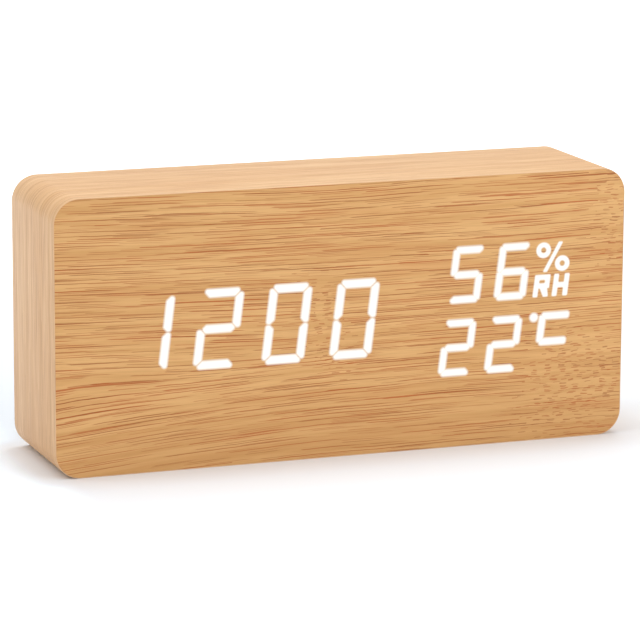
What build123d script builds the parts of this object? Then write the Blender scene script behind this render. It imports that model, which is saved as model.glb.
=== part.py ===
from build123d import *
from math import radians, sqrt, tan
import os

os.makedirs("parts", exist_ok=True)

# Digital LED desk clock: a hollow fibreboard block wrapped in bamboo veneer. The digits of a
# display behind the face veneer shine through it, and a moulded cover closes the back.
# Millimetres. The origin is in the middle of the base, +X to the reader's right, +Y to the
# back and +Z up.

# Block
block_width = 150
block_height = 69
block_depth = 37
corner_radius = 6.4
wrap_thickness = 0.5
veneer_thickness = 0.6
front_board_thickness = 3
wall_thickness = 6
rim_width = 3
cover_recess = 1
corner_block_size = 8
corner_block_length = 13

# Clearances
drop_in_clearance = 0.2
screw_clearance = 0.05
moving_clearance = 0.25
film_clearance = 0.05
seat_gap = 0.1

# Display: rows of slanted seven-segment digits
lean_angle = 7.2
display_rise = 0.3
display_left_margin = 14
display_right_margin = 11.95
time_gap_share = 0.149
small_gap_share = 0.088
unit_gap_share = 0.032
time_digit_width = 11.3
time_digit_height = 20.15
time_stroke = 2.35
small_digit_width = 8.7
small_digit_height = 14.4
small_stroke = 1.85
row_spacing = 18.5
segment_gap = 0.35
waist_gap = 0.6
tip_chamfer = 0.4
colon_spacing = 9.4
colon_dot_radius = 1.1

# Units at the end of the small rows
unit_inset = 0.6
percent_width = 9.6
percent_height = 7.6
percent_ring_radius = 2
percent_hole_radius = 0.7
percent_slash_run = 3.4
percent_slash_width = 1.2
percent_rise = 3.1
letter_width = 4.25
letter_height = 5.7
letter_stroke = 1.35
letter_gap = 1
letter_drop = 4.2
degree_radius = 1.15
degree_hole_radius = 0.45
celsius_gap = 0.3
celsius_width = 7.7
celsius_height = 8.5
celsius_stroke = 1.9
celsius_rise = 3.2

# Display housing and board
mask_thickness = 0.3
diffuser_depth = 1.2
housing_depth = 7
housing_margin = 3
ear_width = 8
ear_length = 4.4
ear_thickness = 2
ear_spread_share = 0.6
display_board_thickness = 1.6
display_screw_inset = 2.6
led_width = 0.8
led_height = 0.5
driver_chip_length = 12
driver_chip_width = 6
driver_chip_height = 1.6
driver_chip_share = 0.3
socket_length = 13
socket_width = 5
socket_height = 4
socket_pocket_margin = 0.6
socket_pocket_depth = 2.4
socket_share = 0.3
socket_drop = 3
ribbon_width = 11
ribbon_thickness = 0.7
ribbon_drop = 8

# Screws
large_shank_diameter = 2.2
large_head_diameter = 4.6
large_head_height = 1.5
cover_screw_length = 9
ear_screw_length = 4.2
small_shank_diameter = 1.6
small_head_diameter = 3
small_head_height = 1.1
board_screw_length = 6
screw_tip_gap = 0.6
recess_length_share = 0.6
recess_width_share = 0.16
recess_depth_share = 0.5
head_round_share = 0.4

# Rear cover
cover_thickness = 2
cover_corner_radius = 2.5
cover_edge_round = 0.4
counterbore_depth = 1

# Cells and battery bay
cell_diameter = 10.5
cell_body_length = 43.5
cell_nub_length = 1
cell_nub_diameter = 4
cell_edge_round = 0.5
cell_side_gap = 0.3
cell_cover_gap = 0.4
negative_room = 4
positive_room = 1.6
bay_wall = 1.8
bay_floor_thickness = 1.4
bay_ledge = 1
bay_side_gap = 0.8
contact_thickness = 0.4
contact_depth = 7.6
contact_height = 8
leaf_width = 5
leaf_foot_spread = 6.4
dimple_radius = 2
tab_length = 1.4
tab_width = 3
tab_thickness = 0.6
tab_slot_gap = 0.15
lead_diameter = 1
lead_bend_radius = 3
lead_setback = 2.4
lead_tail = 7

# Battery door
door_plate_gap = 0.2
door_latch_width = 9
door_latch_reach = 1.2
door_latch_gap = 0.3
door_tongue_width = 6
door_tongue_reach = 2
door_tongue_thickness = 1.2
door_tongue_root = 2.4
door_tongue_gap = 0.2
door_tongue_spread_share = 0.5
door_slot_depth = 2.6
door_slot_gap = 0.4
grip_rib_length = 14
grip_rib_width = 0.8
grip_rib_pitch = 1.9
grip_rib_depth = 0.5
grip_rib_count = 4
grip_inset = 2.2
finger_notch_width = 12
finger_notch_reach = 3.4
finger_notch_depth = 1.1

# Main board and the parts on it
post_length = 7.4
post_diameter = 5
post_inset = 3.4
main_board_thickness = 1.6
main_board_gap = 5
main_board_side_gap = 1
main_board_height = 40
chip_length = 17
chip_width = 7.5
chip_height = 2
chip_pin_count = 12
chip_pin_pitch = 1.27
chip_pin_width = 0.45
chip_pin_reach = 1.2
chip_pin_height = 0.3
chip_share = 0.68
chip_drop = 10.5
crystal_diameter = 2
crystal_length = 6
crystal_gap = 1.5
coin_diameter = 12.5
coin_thickness = 2
coin_wall = 1.4
coin_floor = 0.6
coin_gap = 0.15
coin_share = 0.7
coin_rise = 9.5
buzzer_diameter = 12
buzzer_height = 5.4
buzzer_hole_radius = 1
buzzer_hole_depth = 1
sound_hole_radius = 0.6
sound_hole_ring_radius = 2.4
sound_hole_count = 6
sensor_size = 4
sensor_height = 1.4
sensor_window_radius = 0.8
sensor_window_depth = 0.5
vent_length = 9
vent_width = 1.2
vent_pitch = 2.6
vent_count = 4
microphone_diameter = 4
microphone_height = 2
microphone_hole_radius = 0.7
lower_row_rise = 11
inlet_share = 0.17
buzzer_share = 0.5
sensor_share = 0.83
microphone_share = 0.5
microphone_rise = 21.5

# Buttons and push switches
button_diameter = 6
button_proud = 0.6
button_flange_diameter = 8
button_flange_thickness = 1
button_flange_gap = 0.2
button_dish_depth = 0.25
button_stem_diameter = 3.4
button_travel = 0.5
button_shares = (0.16, 0.42, 0.68)
button_row_drop = 10.5
switch_size = 6
switch_height = 3.6
plunger_reach = 0.9
plunger_pocket_depth = 2
plunger_foot_gap = 0.3
ring_width = 0.6
ring_depth = 0.4

# Slide switch for the sound control
slider_body_length = 9
slider_body_width = 4
slider_body_height = 3.8
slider_travel = 2
slider_knob_width = 2.6
slider_knob_height = 2
slider_knob_proud = 0.7
slider_foot_depth = 1
slider_foot_length = 4
slider_share = 0.8

# Power inlet
inlet_width = 7.5
inlet_narrow_width = 5.9
inlet_height = 2.6
inlet_wall = 0.3
inlet_sunk = 0.4
inlet_base_length = 3
inlet_tongue_width = 4.6
inlet_tongue_thickness = 0.6
inlet_tongue_setback = 1.2
inlet_opening_gap = 0.4

# Depths, from the front to the back
front_y = -block_depth / 2
rear_y = block_depth / 2
core_front_y = front_y + veneer_thickness
board_rear_y = core_front_y + front_board_thickness
housing_front_y = core_front_y + mask_thickness
housing_rear_y = housing_front_y + housing_depth
display_board_rear_y = housing_rear_y + display_board_thickness
core_rear_y = rear_y - veneer_thickness
cover_rear_y = rear_y - cover_recess
cover_front_y = cover_rear_y - cover_thickness
main_rear_y = cover_front_y - post_length
main_front_y = main_rear_y - main_board_thickness
cell_y = cover_front_y - cell_cover_gap - cell_diameter / 2
bay_floor_y = cell_y - cell_diameter / 2 - cell_side_gap
bay_front_y = bay_floor_y - bay_floor_thickness

# Outlines
mid_z = block_height / 2
core_width = block_width - 2 * wrap_thickness
core_height = block_height - 2 * wrap_thickness
core_radius = corner_radius - wrap_thickness
cavity_width = core_width - 2 * wall_thickness
cavity_height = core_height - 2 * wall_thickness
recess_width = core_width - 2 * rim_width
recess_height = core_height - 2 * rim_width
corner_block_x = (cavity_width - corner_block_size) / 2
corner_block_z = (cavity_height - corner_block_size) / 2

# Display places, before the digits lean. The digits keep their sizes, and the gaps between
# them share what is left of the display's width
lean_slope = tan(radians(lean_angle))
display_z = mid_z + display_rise
time_run = time_digit_height * lean_slope
unit_width = unit_inset + 2 * degree_radius + celsius_gap + celsius_width
housing_width = block_width - display_left_margin - display_right_margin
housing_x = (display_left_margin - display_right_margin) / 2
display_left = housing_x - housing_width / 2 + housing_margin
free_width = (housing_width - 2 * housing_margin - time_run / 2
              - 4 * time_digit_width - 2 * small_digit_width - unit_width)
time_pitch = time_digit_width + free_width * time_gap_share
small_pitch = small_digit_width + free_width * small_gap_share
unit_left = housing_x + housing_width / 2 - housing_margin - unit_width
time_row_x = display_left + (time_run + time_digit_width + 3 * time_pitch) / 2
small_row_x = unit_left - free_width * unit_gap_share - (small_digit_width + small_pitch) / 2
upper_row = row_spacing / 2
lower_row = -row_spacing / 2
percent_middle = upper_row + percent_rise
letter_middle = upper_row - letter_drop
celsius_middle = lower_row + celsius_rise
degree_x = unit_left + unit_inset + degree_radius
degree_middle = celsius_middle + celsius_height / 2 - degree_radius
celsius_x = degree_x + degree_radius + celsius_gap + celsius_width / 2
letter_r_x = unit_left + unit_inset + letter_width / 2
letter_h_x = letter_r_x + letter_width + letter_gap
time_digit_size = (time_digit_width, time_digit_height, time_stroke)
small_digit_size = (small_digit_width, small_digit_height, small_stroke)
housing_height = row_spacing + small_digit_height + 2 * housing_margin
window_width = housing_width + 2 * drop_in_clearance
window_height = housing_height + 2 * drop_in_clearance
ear_x = (housing_width + ear_length) / 2
ear_z = housing_height / 2 * ear_spread_share
driver_chip_x = housing_x - housing_width / 2 * driver_chip_share
display_screw_x = housing_width / 2 - display_screw_inset
display_screw_rise = housing_height / 2 - display_screw_inset

# Battery bay, its left end beside the corner blocks
cell_length = cell_body_length + cell_nub_length
bay_length = cell_length + negative_room + positive_room
bay_height = 3 * cell_diameter + 4 * cell_side_gap
bay_left = -cavity_width / 2 + corner_block_size + bay_side_gap + bay_wall
bay_right = bay_left + bay_length
bay_x = (bay_left + bay_right) / 2
bay_low = mid_z - bay_height / 2
cell_step = cell_diameter + cell_side_gap
cell_z = [mid_z - cell_step, mid_z, mid_z + cell_step]
opening_length = bay_length + 2 * bay_ledge
opening_height = bay_height + 2 * bay_ledge
door_length = opening_length - 2 * door_plate_gap
door_height = opening_height - 2 * door_plate_gap
door_low = mid_z - door_height / 2
door_top = mid_z + door_height / 2
door_front_y = cover_front_y + door_plate_gap
door_thickness = cover_rear_y - door_front_y
tongue_rear_y = cover_front_y - door_tongue_gap
tongue_front_y = tongue_rear_y - door_tongue_thickness
tongue_spread = door_length * door_tongue_spread_share

# Main board, between the battery bay and the right-hand corner blocks
main_left = bay_right + bay_wall + main_board_gap
main_right = cavity_width / 2 - corner_block_size - main_board_side_gap
main_width = main_right - main_left
main_x = (main_left + main_right) / 2
main_low = mid_z - main_board_height / 2
main_top = mid_z + main_board_height / 2
post_spread_x = main_width - 2 * post_inset
post_spread_z = main_board_height - 2 * post_inset
button_z = main_top - button_row_drop
button_x = [main_left + main_width * share for share in button_shares]
slider_x = main_left + main_width * slider_share - slider_travel / 2
lower_z = main_low + lower_row_rise
inlet_x = main_left + main_width * inlet_share
buzzer_x = main_left + main_width * buzzer_share
sensor_x = main_left + main_width * sensor_share
microphone_x = main_left + main_width * microphone_share
microphone_z = main_low + microphone_rise
coin_x = main_left + main_width * coin_share
coin_z = main_low + coin_rise
chip_x = main_left + main_width * chip_share
chip_z = main_top - chip_drop
crystal_x = chip_x - (chip_length + crystal_length) / 2 - crystal_gap
socket_x = main_left + main_width * socket_share
socket_z = mid_z - socket_drop


def upright(y):
    """Upright plane at depth y, X to the right and Z up, that extrudes towards the front."""
    return Plane.XZ.offset(-y)


def lean(x, rise):
    """Place on the face of a point of the display, once the digits lean to the right."""
    return (x + rise * lean_slope, display_z + rise)


def leaning(outline):
    """The same outline on the face, leaning to the right."""
    return [lean(x, rise) for x, rise in outline]


def segment_outlines(cell, grow=0):
    """The seven segments of a digit: top, upper right, lower right, bottom, lower left,
    upper left and middle, with mitred corners, each outline grown outwards by grow."""
    x, rise, (width, height, stroke) = cell
    side = width / 2 + grow
    top = height / 2 + grow
    bar = stroke + 2 * grow
    mitre = (segment_gap / 2 - grow) * sqrt(2)
    waist = waist_gap / 2 - grow
    top_bar = [
        (mitre - side, top), (side - mitre, top),
        (side - bar - mitre, top - bar), (mitre + bar - side, top - bar),
    ]
    side_bar = [
        (side, top - mitre), (side, waist + tip_chamfer), (side - tip_chamfer, waist),
        (side - bar / 2 + mitre - waist, waist), (side - bar, bar / 2 + mitre),
        (side - bar, top - bar - mitre),
    ]
    middle_bar = [
        (side - bar / 2 - mitre, 0), (side - bar - mitre, bar / 2),
        (mitre + bar - side, bar / 2), (mitre + bar / 2 - side, 0),
        (mitre + bar - side, -bar / 2), (side - bar - mitre, -bar / 2),
    ]
    shapes = [
        top_bar,
        side_bar,
        [(px, -pz) for px, pz in side_bar],
        [(px, -pz) for px, pz in top_bar],
        [(-px, -pz) for px, pz in side_bar],
        [(-px, pz) for px, pz in side_bar],
        middle_bar,
    ]
    return [leaning([(x + px, rise + pz) for px, pz in shape]) for shape in shapes]


def bar_outline(left, right, low, high, grow=0):
    """An upright or level bar of a letter, leaning and grown by grow."""
    corners = [(left - grow, low - grow), (right + grow, low - grow),
               (right + grow, high + grow), (left - grow, high + grow)]
    return leaning(corners)


def letter_r_outlines(grow=0):
    """Stem, top, bowl, middle and leg of the letter R, which overlap into one shape."""
    left = letter_r_x - letter_width / 2
    right = letter_r_x + letter_width / 2
    low = letter_middle - letter_height / 2
    high = letter_middle + letter_height / 2
    half = letter_stroke / 2
    leg = [(left + letter_stroke - grow, letter_middle), (right - half + grow, letter_middle),
           (right + grow, low - grow), (right - letter_stroke - grow, low - grow)]
    return [
        bar_outline(left, left + letter_stroke, low, high, grow),
        bar_outline(left, right, high - letter_stroke, high, grow),
        bar_outline(right - letter_stroke, right, letter_middle - half, high, grow),
        bar_outline(left, right, letter_middle - half, letter_middle + half, grow),
        leaning(leg),
    ]


def letter_r_bowl():
    """The closed space inside the bowl of the R."""
    left = letter_r_x - letter_width / 2
    right = letter_r_x + letter_width / 2
    return bar_outline(left, right, letter_middle, letter_middle + letter_height / 2)


def letter_h_outlines(grow=0):
    """Two stems and the cross bar of the letter H, which overlap into one shape."""
    left = letter_h_x - letter_width / 2
    right = letter_h_x + letter_width / 2
    low = letter_middle - letter_height / 2
    high = letter_middle + letter_height / 2
    half = letter_stroke / 2
    return [
        bar_outline(left, left + letter_stroke, low, high, grow),
        bar_outline(right - letter_stroke, right, low, high, grow),
        bar_outline(left, right, letter_middle - half, letter_middle + half, grow),
    ]


def percent_slash_outline(grow=0):
    """The slanting bar of the percent sign."""
    middle = unit_left + percent_width / 2
    run = percent_slash_run / 2
    half = percent_slash_width / 2 + grow
    low = percent_middle - percent_height / 2 - grow
    high = percent_middle + percent_height / 2 + grow
    return leaning([(middle - run - half, low), (middle - run + half, low),
                    (middle + run + half, high), (middle + run - half, high)])


def percent_ring_places():
    """Middles of the percent sign's two rings."""
    left = unit_left + percent_ring_radius
    right = unit_left + percent_width - percent_ring_radius
    high = percent_middle + percent_height / 2 - percent_ring_radius
    low = percent_middle - percent_height / 2 + percent_ring_radius
    return [lean(left, high), lean(right, low)]


def celsius_outlines(grow=0):
    """Top, long left side and bottom of the C."""
    side = celsius_width / 2 + grow
    top = celsius_height / 2 + grow
    bar = celsius_stroke + 2 * grow
    mitre = (segment_gap / 2 - grow) * sqrt(2)
    top_bar = [(mitre - side, top), (side, top), (side, top - bar), (mitre + bar - side, top - bar)]
    left_bar = [(-side, top - mitre), (bar - side, top - bar - mitre),
                (bar - side, mitre + bar - top), (-side, mitre - top)]
    shapes = [top_bar, left_bar, [(px, -pz) for px, pz in top_bar]]
    return [leaning([(celsius_x + px, celsius_middle + pz) for px, pz in shape]) for shape in shapes]


def middle_of(outline):
    """Mean of an outline's corners."""
    return (sum(x for x, z in outline) / len(outline), sum(z for x, z in outline) / len(outline))


def draw_windows(grow):
    """In an open sketch, the window of each segment, dot and letter of the display."""
    for cell in digit_cells.values():
        for outline in segment_outlines(cell, grow):
            Polygon(*outline)
    for outline in letter_r_outlines(grow) + [letter_r_bowl()] + letter_h_outlines(grow):
        Polygon(*outline)
    for outline in celsius_outlines(grow) + [percent_slash_outline(grow)]:
        Polygon(*outline)
    with Locations(*percent_ring_places()):
        Circle(percent_ring_radius + grow)
    with Locations(lean(degree_x, degree_middle)):
        Circle(degree_radius + grow)
    with Locations(*colon_places):
        Circle(colon_dot_radius + grow)


def screw_group(places, seat_y, way, length, shank_diameter, head_diameter, head_height):
    """Round-head screws at (x, z) places. The heads sit at seat_y, and the shanks point to the
    front where way is 1 and to the back where it is -1."""
    with BuildPart() as group:
        with BuildSketch(upright(seat_y)):
            with Locations(*places):
                Circle(head_diameter / 2)
        extrude(amount=-way * head_height)
        rims = group.edges().filter_by(GeomType.CIRCLE).group_by(Axis.Y)[-1 if way > 0 else 0]
        fillet(rims, radius=head_height * head_round_share)
        with BuildSketch(upright(seat_y)):
            with Locations(*places):
                Circle(shank_diameter / 2)
        extrude(amount=way * length)
        with BuildSketch(upright(seat_y + way * head_height)):
            with Locations(*places):
                Rectangle(head_diameter * recess_length_share, head_diameter * recess_width_share)
                Rectangle(head_diameter * recess_width_share, head_diameter * recess_length_share)
        extrude(amount=way * head_height * recess_depth_share, mode=Mode.SUBTRACT)
    return group


digit_cells = {
    "hour_tens": (time_row_x - 3 * time_pitch / 2, 0, time_digit_size),
    "hour_ones": (time_row_x - time_pitch / 2, 0, time_digit_size),
    "minute_tens": (time_row_x + time_pitch / 2, 0, time_digit_size),
    "minute_ones": (time_row_x + 3 * time_pitch / 2, 0, time_digit_size),
    "humidity_tens": (small_row_x - small_pitch / 2, upper_row, small_digit_size),
    "humidity_ones": (small_row_x + small_pitch / 2, upper_row, small_digit_size),
    "temperature_tens": (small_row_x - small_pitch / 2, lower_row, small_digit_size),
    "temperature_ones": (small_row_x + small_pitch / 2, lower_row, small_digit_size),
}
colon_places = [lean(time_row_x, colon_spacing / 2), lean(time_row_x, -colon_spacing / 2)]
corner_places = [(x, mid_z + z) for x in (-corner_block_x, corner_block_x)
                 for z in (-corner_block_z, corner_block_z)]
ear_places = [(housing_x + x, mid_z + z) for x in (-ear_x, ear_x) for z in (-ear_z, ear_z)]
display_screw_places = [(housing_x + x, mid_z + z) for x in (-display_screw_x, display_screw_x)
                        for z in (-display_screw_rise, display_screw_rise)]
post_places = [(main_x + x, mid_z + z) for x in (-post_spread_x / 2, post_spread_x / 2)
               for z in (-post_spread_z / 2, post_spread_z / 2)]

# Veneer and fibreboard

with BuildPart() as side_wrap:
    with BuildSketch(upright(rear_y)):
        with Locations((0, mid_z)):
            RectangleRounded(block_width, block_height, corner_radius)
            RectangleRounded(core_width, core_height, core_radius, mode=Mode.SUBTRACT)
    extrude(amount=block_depth)
side_wrap.part.label = "side_wrap"
export_step(side_wrap.part, "parts/side_wrap.step")

with BuildPart() as face_veneer:
    with BuildSketch(upright(core_front_y)):
        with Locations((0, mid_z)):
            RectangleRounded(core_width, core_height, core_radius)
    extrude(amount=veneer_thickness)
face_veneer.part.label = "face_veneer"
export_step(face_veneer.part, "parts/face_veneer.step")

with BuildPart() as front_board:
    with BuildSketch(upright(board_rear_y)):
        with Locations((0, mid_z)):
            RectangleRounded(core_width, core_height, core_radius)
        with Locations((housing_x, mid_z)):
            Rectangle(window_width, window_height, mode=Mode.SUBTRACT)
    extrude(amount=front_board_thickness)
    with BuildSketch(upright(board_rear_y)):
        with Locations(*ear_places):
            Circle(small_shank_diameter / 2 + screw_clearance)
    extrude(amount=ear_screw_length - ear_thickness + screw_clearance, mode=Mode.SUBTRACT)
front_board.part.label = "front_board"
export_step(front_board.part, "parts/front_board.step")

with BuildPart() as case_frame:
    with BuildSketch(upright(core_rear_y)):
        with Locations((0, mid_z)):
            RectangleRounded(core_width, core_height, core_radius)
            Rectangle(cavity_width, cavity_height, mode=Mode.SUBTRACT)
    extrude(amount=core_rear_y - board_rear_y)
    with BuildSketch(upright(core_rear_y)):
        with Locations((0, mid_z)):
            RectangleRounded(recess_width, recess_height, cover_corner_radius)
    extrude(amount=core_rear_y - cover_front_y, mode=Mode.SUBTRACT)
case_frame.part.label = "case_frame"
export_step(case_frame.part, "parts/case_frame.step")

with BuildPart() as corner_blocks:
    with BuildSketch(upright(cover_front_y)):
        with Locations(*corner_places):
            Rectangle(corner_block_size, corner_block_size)
    extrude(amount=corner_block_length)
    with BuildSketch(upright(cover_front_y)):
        with Locations(*corner_places):
            Circle(large_shank_diameter / 2 + screw_clearance)
    extrude(amount=cover_screw_length, mode=Mode.SUBTRACT)
corner_blocks.part.label = "corner_blocks"
export_step(corner_blocks.part, "parts/corner_blocks.step")

with BuildPart() as rear_veneer:
    with BuildSketch(upright(rear_y)):
        with Locations((0, mid_z)):
            RectangleRounded(core_width, core_height, core_radius)
            RectangleRounded(recess_width, recess_height, cover_corner_radius, mode=Mode.SUBTRACT)
    extrude(amount=veneer_thickness)
rear_veneer.part.label = "rear_veneer"
export_step(rear_veneer.part, "parts/rear_veneer.step")

# Display

with BuildPart() as display_mask:
    with BuildSketch(upright(housing_front_y)):
        with Locations((housing_x, mid_z)):
            Rectangle(housing_width, housing_height)
    extrude(amount=mask_thickness)
    with BuildSketch(upright(housing_front_y)):
        draw_windows(film_clearance)
    extrude(amount=mask_thickness, mode=Mode.SUBTRACT)
display_mask.part.label = "display_mask"
export_step(display_mask.part, "parts/display_mask.step")

with BuildPart() as display_housing:
    with BuildSketch(upright(housing_rear_y)):
        with Locations((housing_x, mid_z)):
            Rectangle(housing_width, housing_height)
    extrude(amount=housing_depth)
    with BuildSketch(upright(board_rear_y + ear_thickness)):
        with Locations((housing_x, mid_z - ear_z), (housing_x, mid_z + ear_z)):
            Rectangle(housing_width + 2 * ear_length, ear_width)
        with Locations((housing_x, mid_z)):
            Rectangle(housing_width, housing_height, mode=Mode.SUBTRACT)
        with Locations(*ear_places):
            Circle(small_shank_diameter / 2 + drop_in_clearance, mode=Mode.SUBTRACT)
    extrude(amount=ear_thickness)
    with BuildSketch(upright(housing_rear_y)):
        draw_windows(film_clearance)
    extrude(amount=housing_depth, mode=Mode.SUBTRACT)
    with BuildSketch(upright(housing_rear_y)):
        with Locations(*display_screw_places):
            Circle(small_shank_diameter / 2 + screw_clearance)
    extrude(amount=board_screw_length - display_board_thickness + screw_tip_gap, mode=Mode.SUBTRACT)
display_housing.part.label = "display_housing"
export_step(display_housing.part, "parts/display_housing.step")

display_housing_screws = screw_group(
    ear_places, board_rear_y + ear_thickness, 1, ear_screw_length,
    small_shank_diameter, small_head_diameter, small_head_height)
display_housing_screws.part.label = "display_housing_screws"
export_step(display_housing_screws.part, "parts/display_housing_screws.step")

for name, cell in digit_cells.items():
    with BuildPart() as digit:
        with BuildSketch(upright(core_front_y + diffuser_depth)):
            for outline in segment_outlines(cell):
                Polygon(*outline)
        extrude(amount=diffuser_depth)
    digit.part.label = f"{name}_segments"
    export_step(digit.part, f"parts/{name}_segments.step")

with BuildPart() as colon_dots:
    with BuildSketch(upright(core_front_y + diffuser_depth)):
        with Locations(*colon_places):
            Circle(colon_dot_radius)
    extrude(amount=diffuser_depth)
colon_dots.part.label = "colon_dots"
export_step(colon_dots.part, "parts/colon_dots.step")

with BuildPart() as humidity_unit:
    with BuildSketch(upright(core_front_y + diffuser_depth)):
        with Locations(*percent_ring_places()):
            Circle(percent_ring_radius)
            Circle(percent_hole_radius, mode=Mode.SUBTRACT)
        for outline in letter_r_outlines() + letter_h_outlines() + [percent_slash_outline()]:
            Polygon(*outline)
    extrude(amount=diffuser_depth)
humidity_unit.part.label = "humidity_unit"
export_step(humidity_unit.part, "parts/humidity_unit.step")

with BuildPart() as temperature_unit:
    with BuildSketch(upright(core_front_y + diffuser_depth)):
        with Locations(lean(degree_x, degree_middle)):
            Circle(degree_radius)
            Circle(degree_hole_radius, mode=Mode.SUBTRACT)
        for outline in celsius_outlines():
            Polygon(*outline)
    extrude(amount=diffuser_depth)
temperature_unit.part.label = "temperature_unit"
export_step(temperature_unit.part, "parts/temperature_unit.step")

with BuildPart() as display_board:
    with BuildSketch(upright(display_board_rear_y)):
        with Locations((housing_x, mid_z)):
            Rectangle(housing_width, housing_height)
        with Locations(*display_screw_places):
            Circle(small_shank_diameter / 2 + drop_in_clearance, mode=Mode.SUBTRACT)
    extrude(amount=display_board_thickness)
display_board.part.label = "display_board"
export_step(display_board.part, "parts/display_board.step")

display_board_screws = screw_group(
    display_screw_places, display_board_rear_y, 1, board_screw_length,
    small_shank_diameter, small_head_diameter, small_head_height)
display_board_screws.part.label = "display_board_screws"
export_step(display_board_screws.part, "parts/display_board_screws.step")

led_places = [middle_of(outline) for cell in digit_cells.values() for outline in segment_outlines(cell)]
led_places += [middle_of(outline) for outline in celsius_outlines()]
led_places += [middle_of(outline) for outline in (letter_r_outlines()[0], letter_h_outlines()[2])]
led_places += [middle_of(percent_slash_outline()), lean(degree_x, degree_middle)]
led_places += percent_ring_places() + colon_places
with BuildPart() as display_leds:
    with BuildSketch(upright(housing_rear_y)):
        with Locations(*led_places):
            Rectangle(led_width, led_width)
    extrude(amount=led_height)
display_leds.part.label = "display_leds"
export_step(display_leds.part, "parts/display_leds.step")

with BuildPart() as driver_chip:
    with BuildSketch(upright(display_board_rear_y)):
        with Locations((driver_chip_x, mid_z)):
            Rectangle(driver_chip_length, driver_chip_width)
    extrude(amount=-driver_chip_height)
driver_chip.part.label = "driver_chip"
export_step(driver_chip.part, "parts/driver_chip.step")


def ribbon_socket(seat_y, way):
    """Socket on a board at seat_y, its mouth turned down for the ribbon. It stands away from
    the board to the back where way is 1 and to the front where it is -1."""
    with BuildPart() as socket:
        with BuildSketch(upright(seat_y)):
            with Locations((socket_x, socket_z)):
                Rectangle(socket_length, socket_width)
        extrude(amount=-way * socket_height)
        mouth_z = socket_z - socket_width / 2
        with BuildSketch(Plane.XY.offset(mouth_z)):
            with Locations((socket_x, seat_y + way * socket_height / 2)):
                Rectangle(socket_length - 2 * socket_pocket_margin, socket_height - 2 * socket_pocket_margin)
        extrude(amount=socket_pocket_depth, mode=Mode.SUBTRACT)
    return socket


display_socket = ribbon_socket(display_board_rear_y, 1)
display_socket.part.label = "display_socket"
export_step(display_socket.part, "parts/display_socket.step")

main_board_socket = ribbon_socket(main_front_y, -1)
main_board_socket.part.label = "main_board_socket"
export_step(main_board_socket.part, "parts/main_board_socket.step")

ribbon_front_y = display_board_rear_y + socket_height / 2
ribbon_rear_y = main_front_y - socket_height / 2
ribbon_top_z = socket_z - socket_width / 2 + socket_pocket_depth - seat_gap
ribbon_bend_z = ribbon_top_z - ribbon_drop
ribbon_bend_radius = (ribbon_rear_y - ribbon_front_y) / 2
with BuildPart() as ribbon_cable:
    with BuildSketch(Plane.YZ.offset(socket_x - ribbon_width / 2)):
        for y in (ribbon_front_y, ribbon_rear_y):
            with Locations((y, (ribbon_top_z + ribbon_bend_z) / 2)):
                Rectangle(ribbon_thickness, ribbon_top_z - ribbon_bend_z)
        with BuildLine():
            CenterArc(((ribbon_front_y + ribbon_rear_y) / 2, ribbon_bend_z),
                      ribbon_bend_radius + ribbon_thickness / 2, 180, 180)
            Line(((ribbon_rear_y + ribbon_thickness / 2), ribbon_bend_z),
                 ((ribbon_rear_y - ribbon_thickness / 2), ribbon_bend_z))
            CenterArc(((ribbon_front_y + ribbon_rear_y) / 2, ribbon_bend_z),
                      ribbon_bend_radius - ribbon_thickness / 2, 180, 180)
            Line(((ribbon_front_y + ribbon_thickness / 2), ribbon_bend_z),
                 ((ribbon_front_y - ribbon_thickness / 2), ribbon_bend_z))
        make_face()
    extrude(amount=ribbon_width)
ribbon_cable.part.label = "ribbon_cable"
export_step(ribbon_cable.part, "parts/ribbon_cable.step")

# Rear cover

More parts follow.
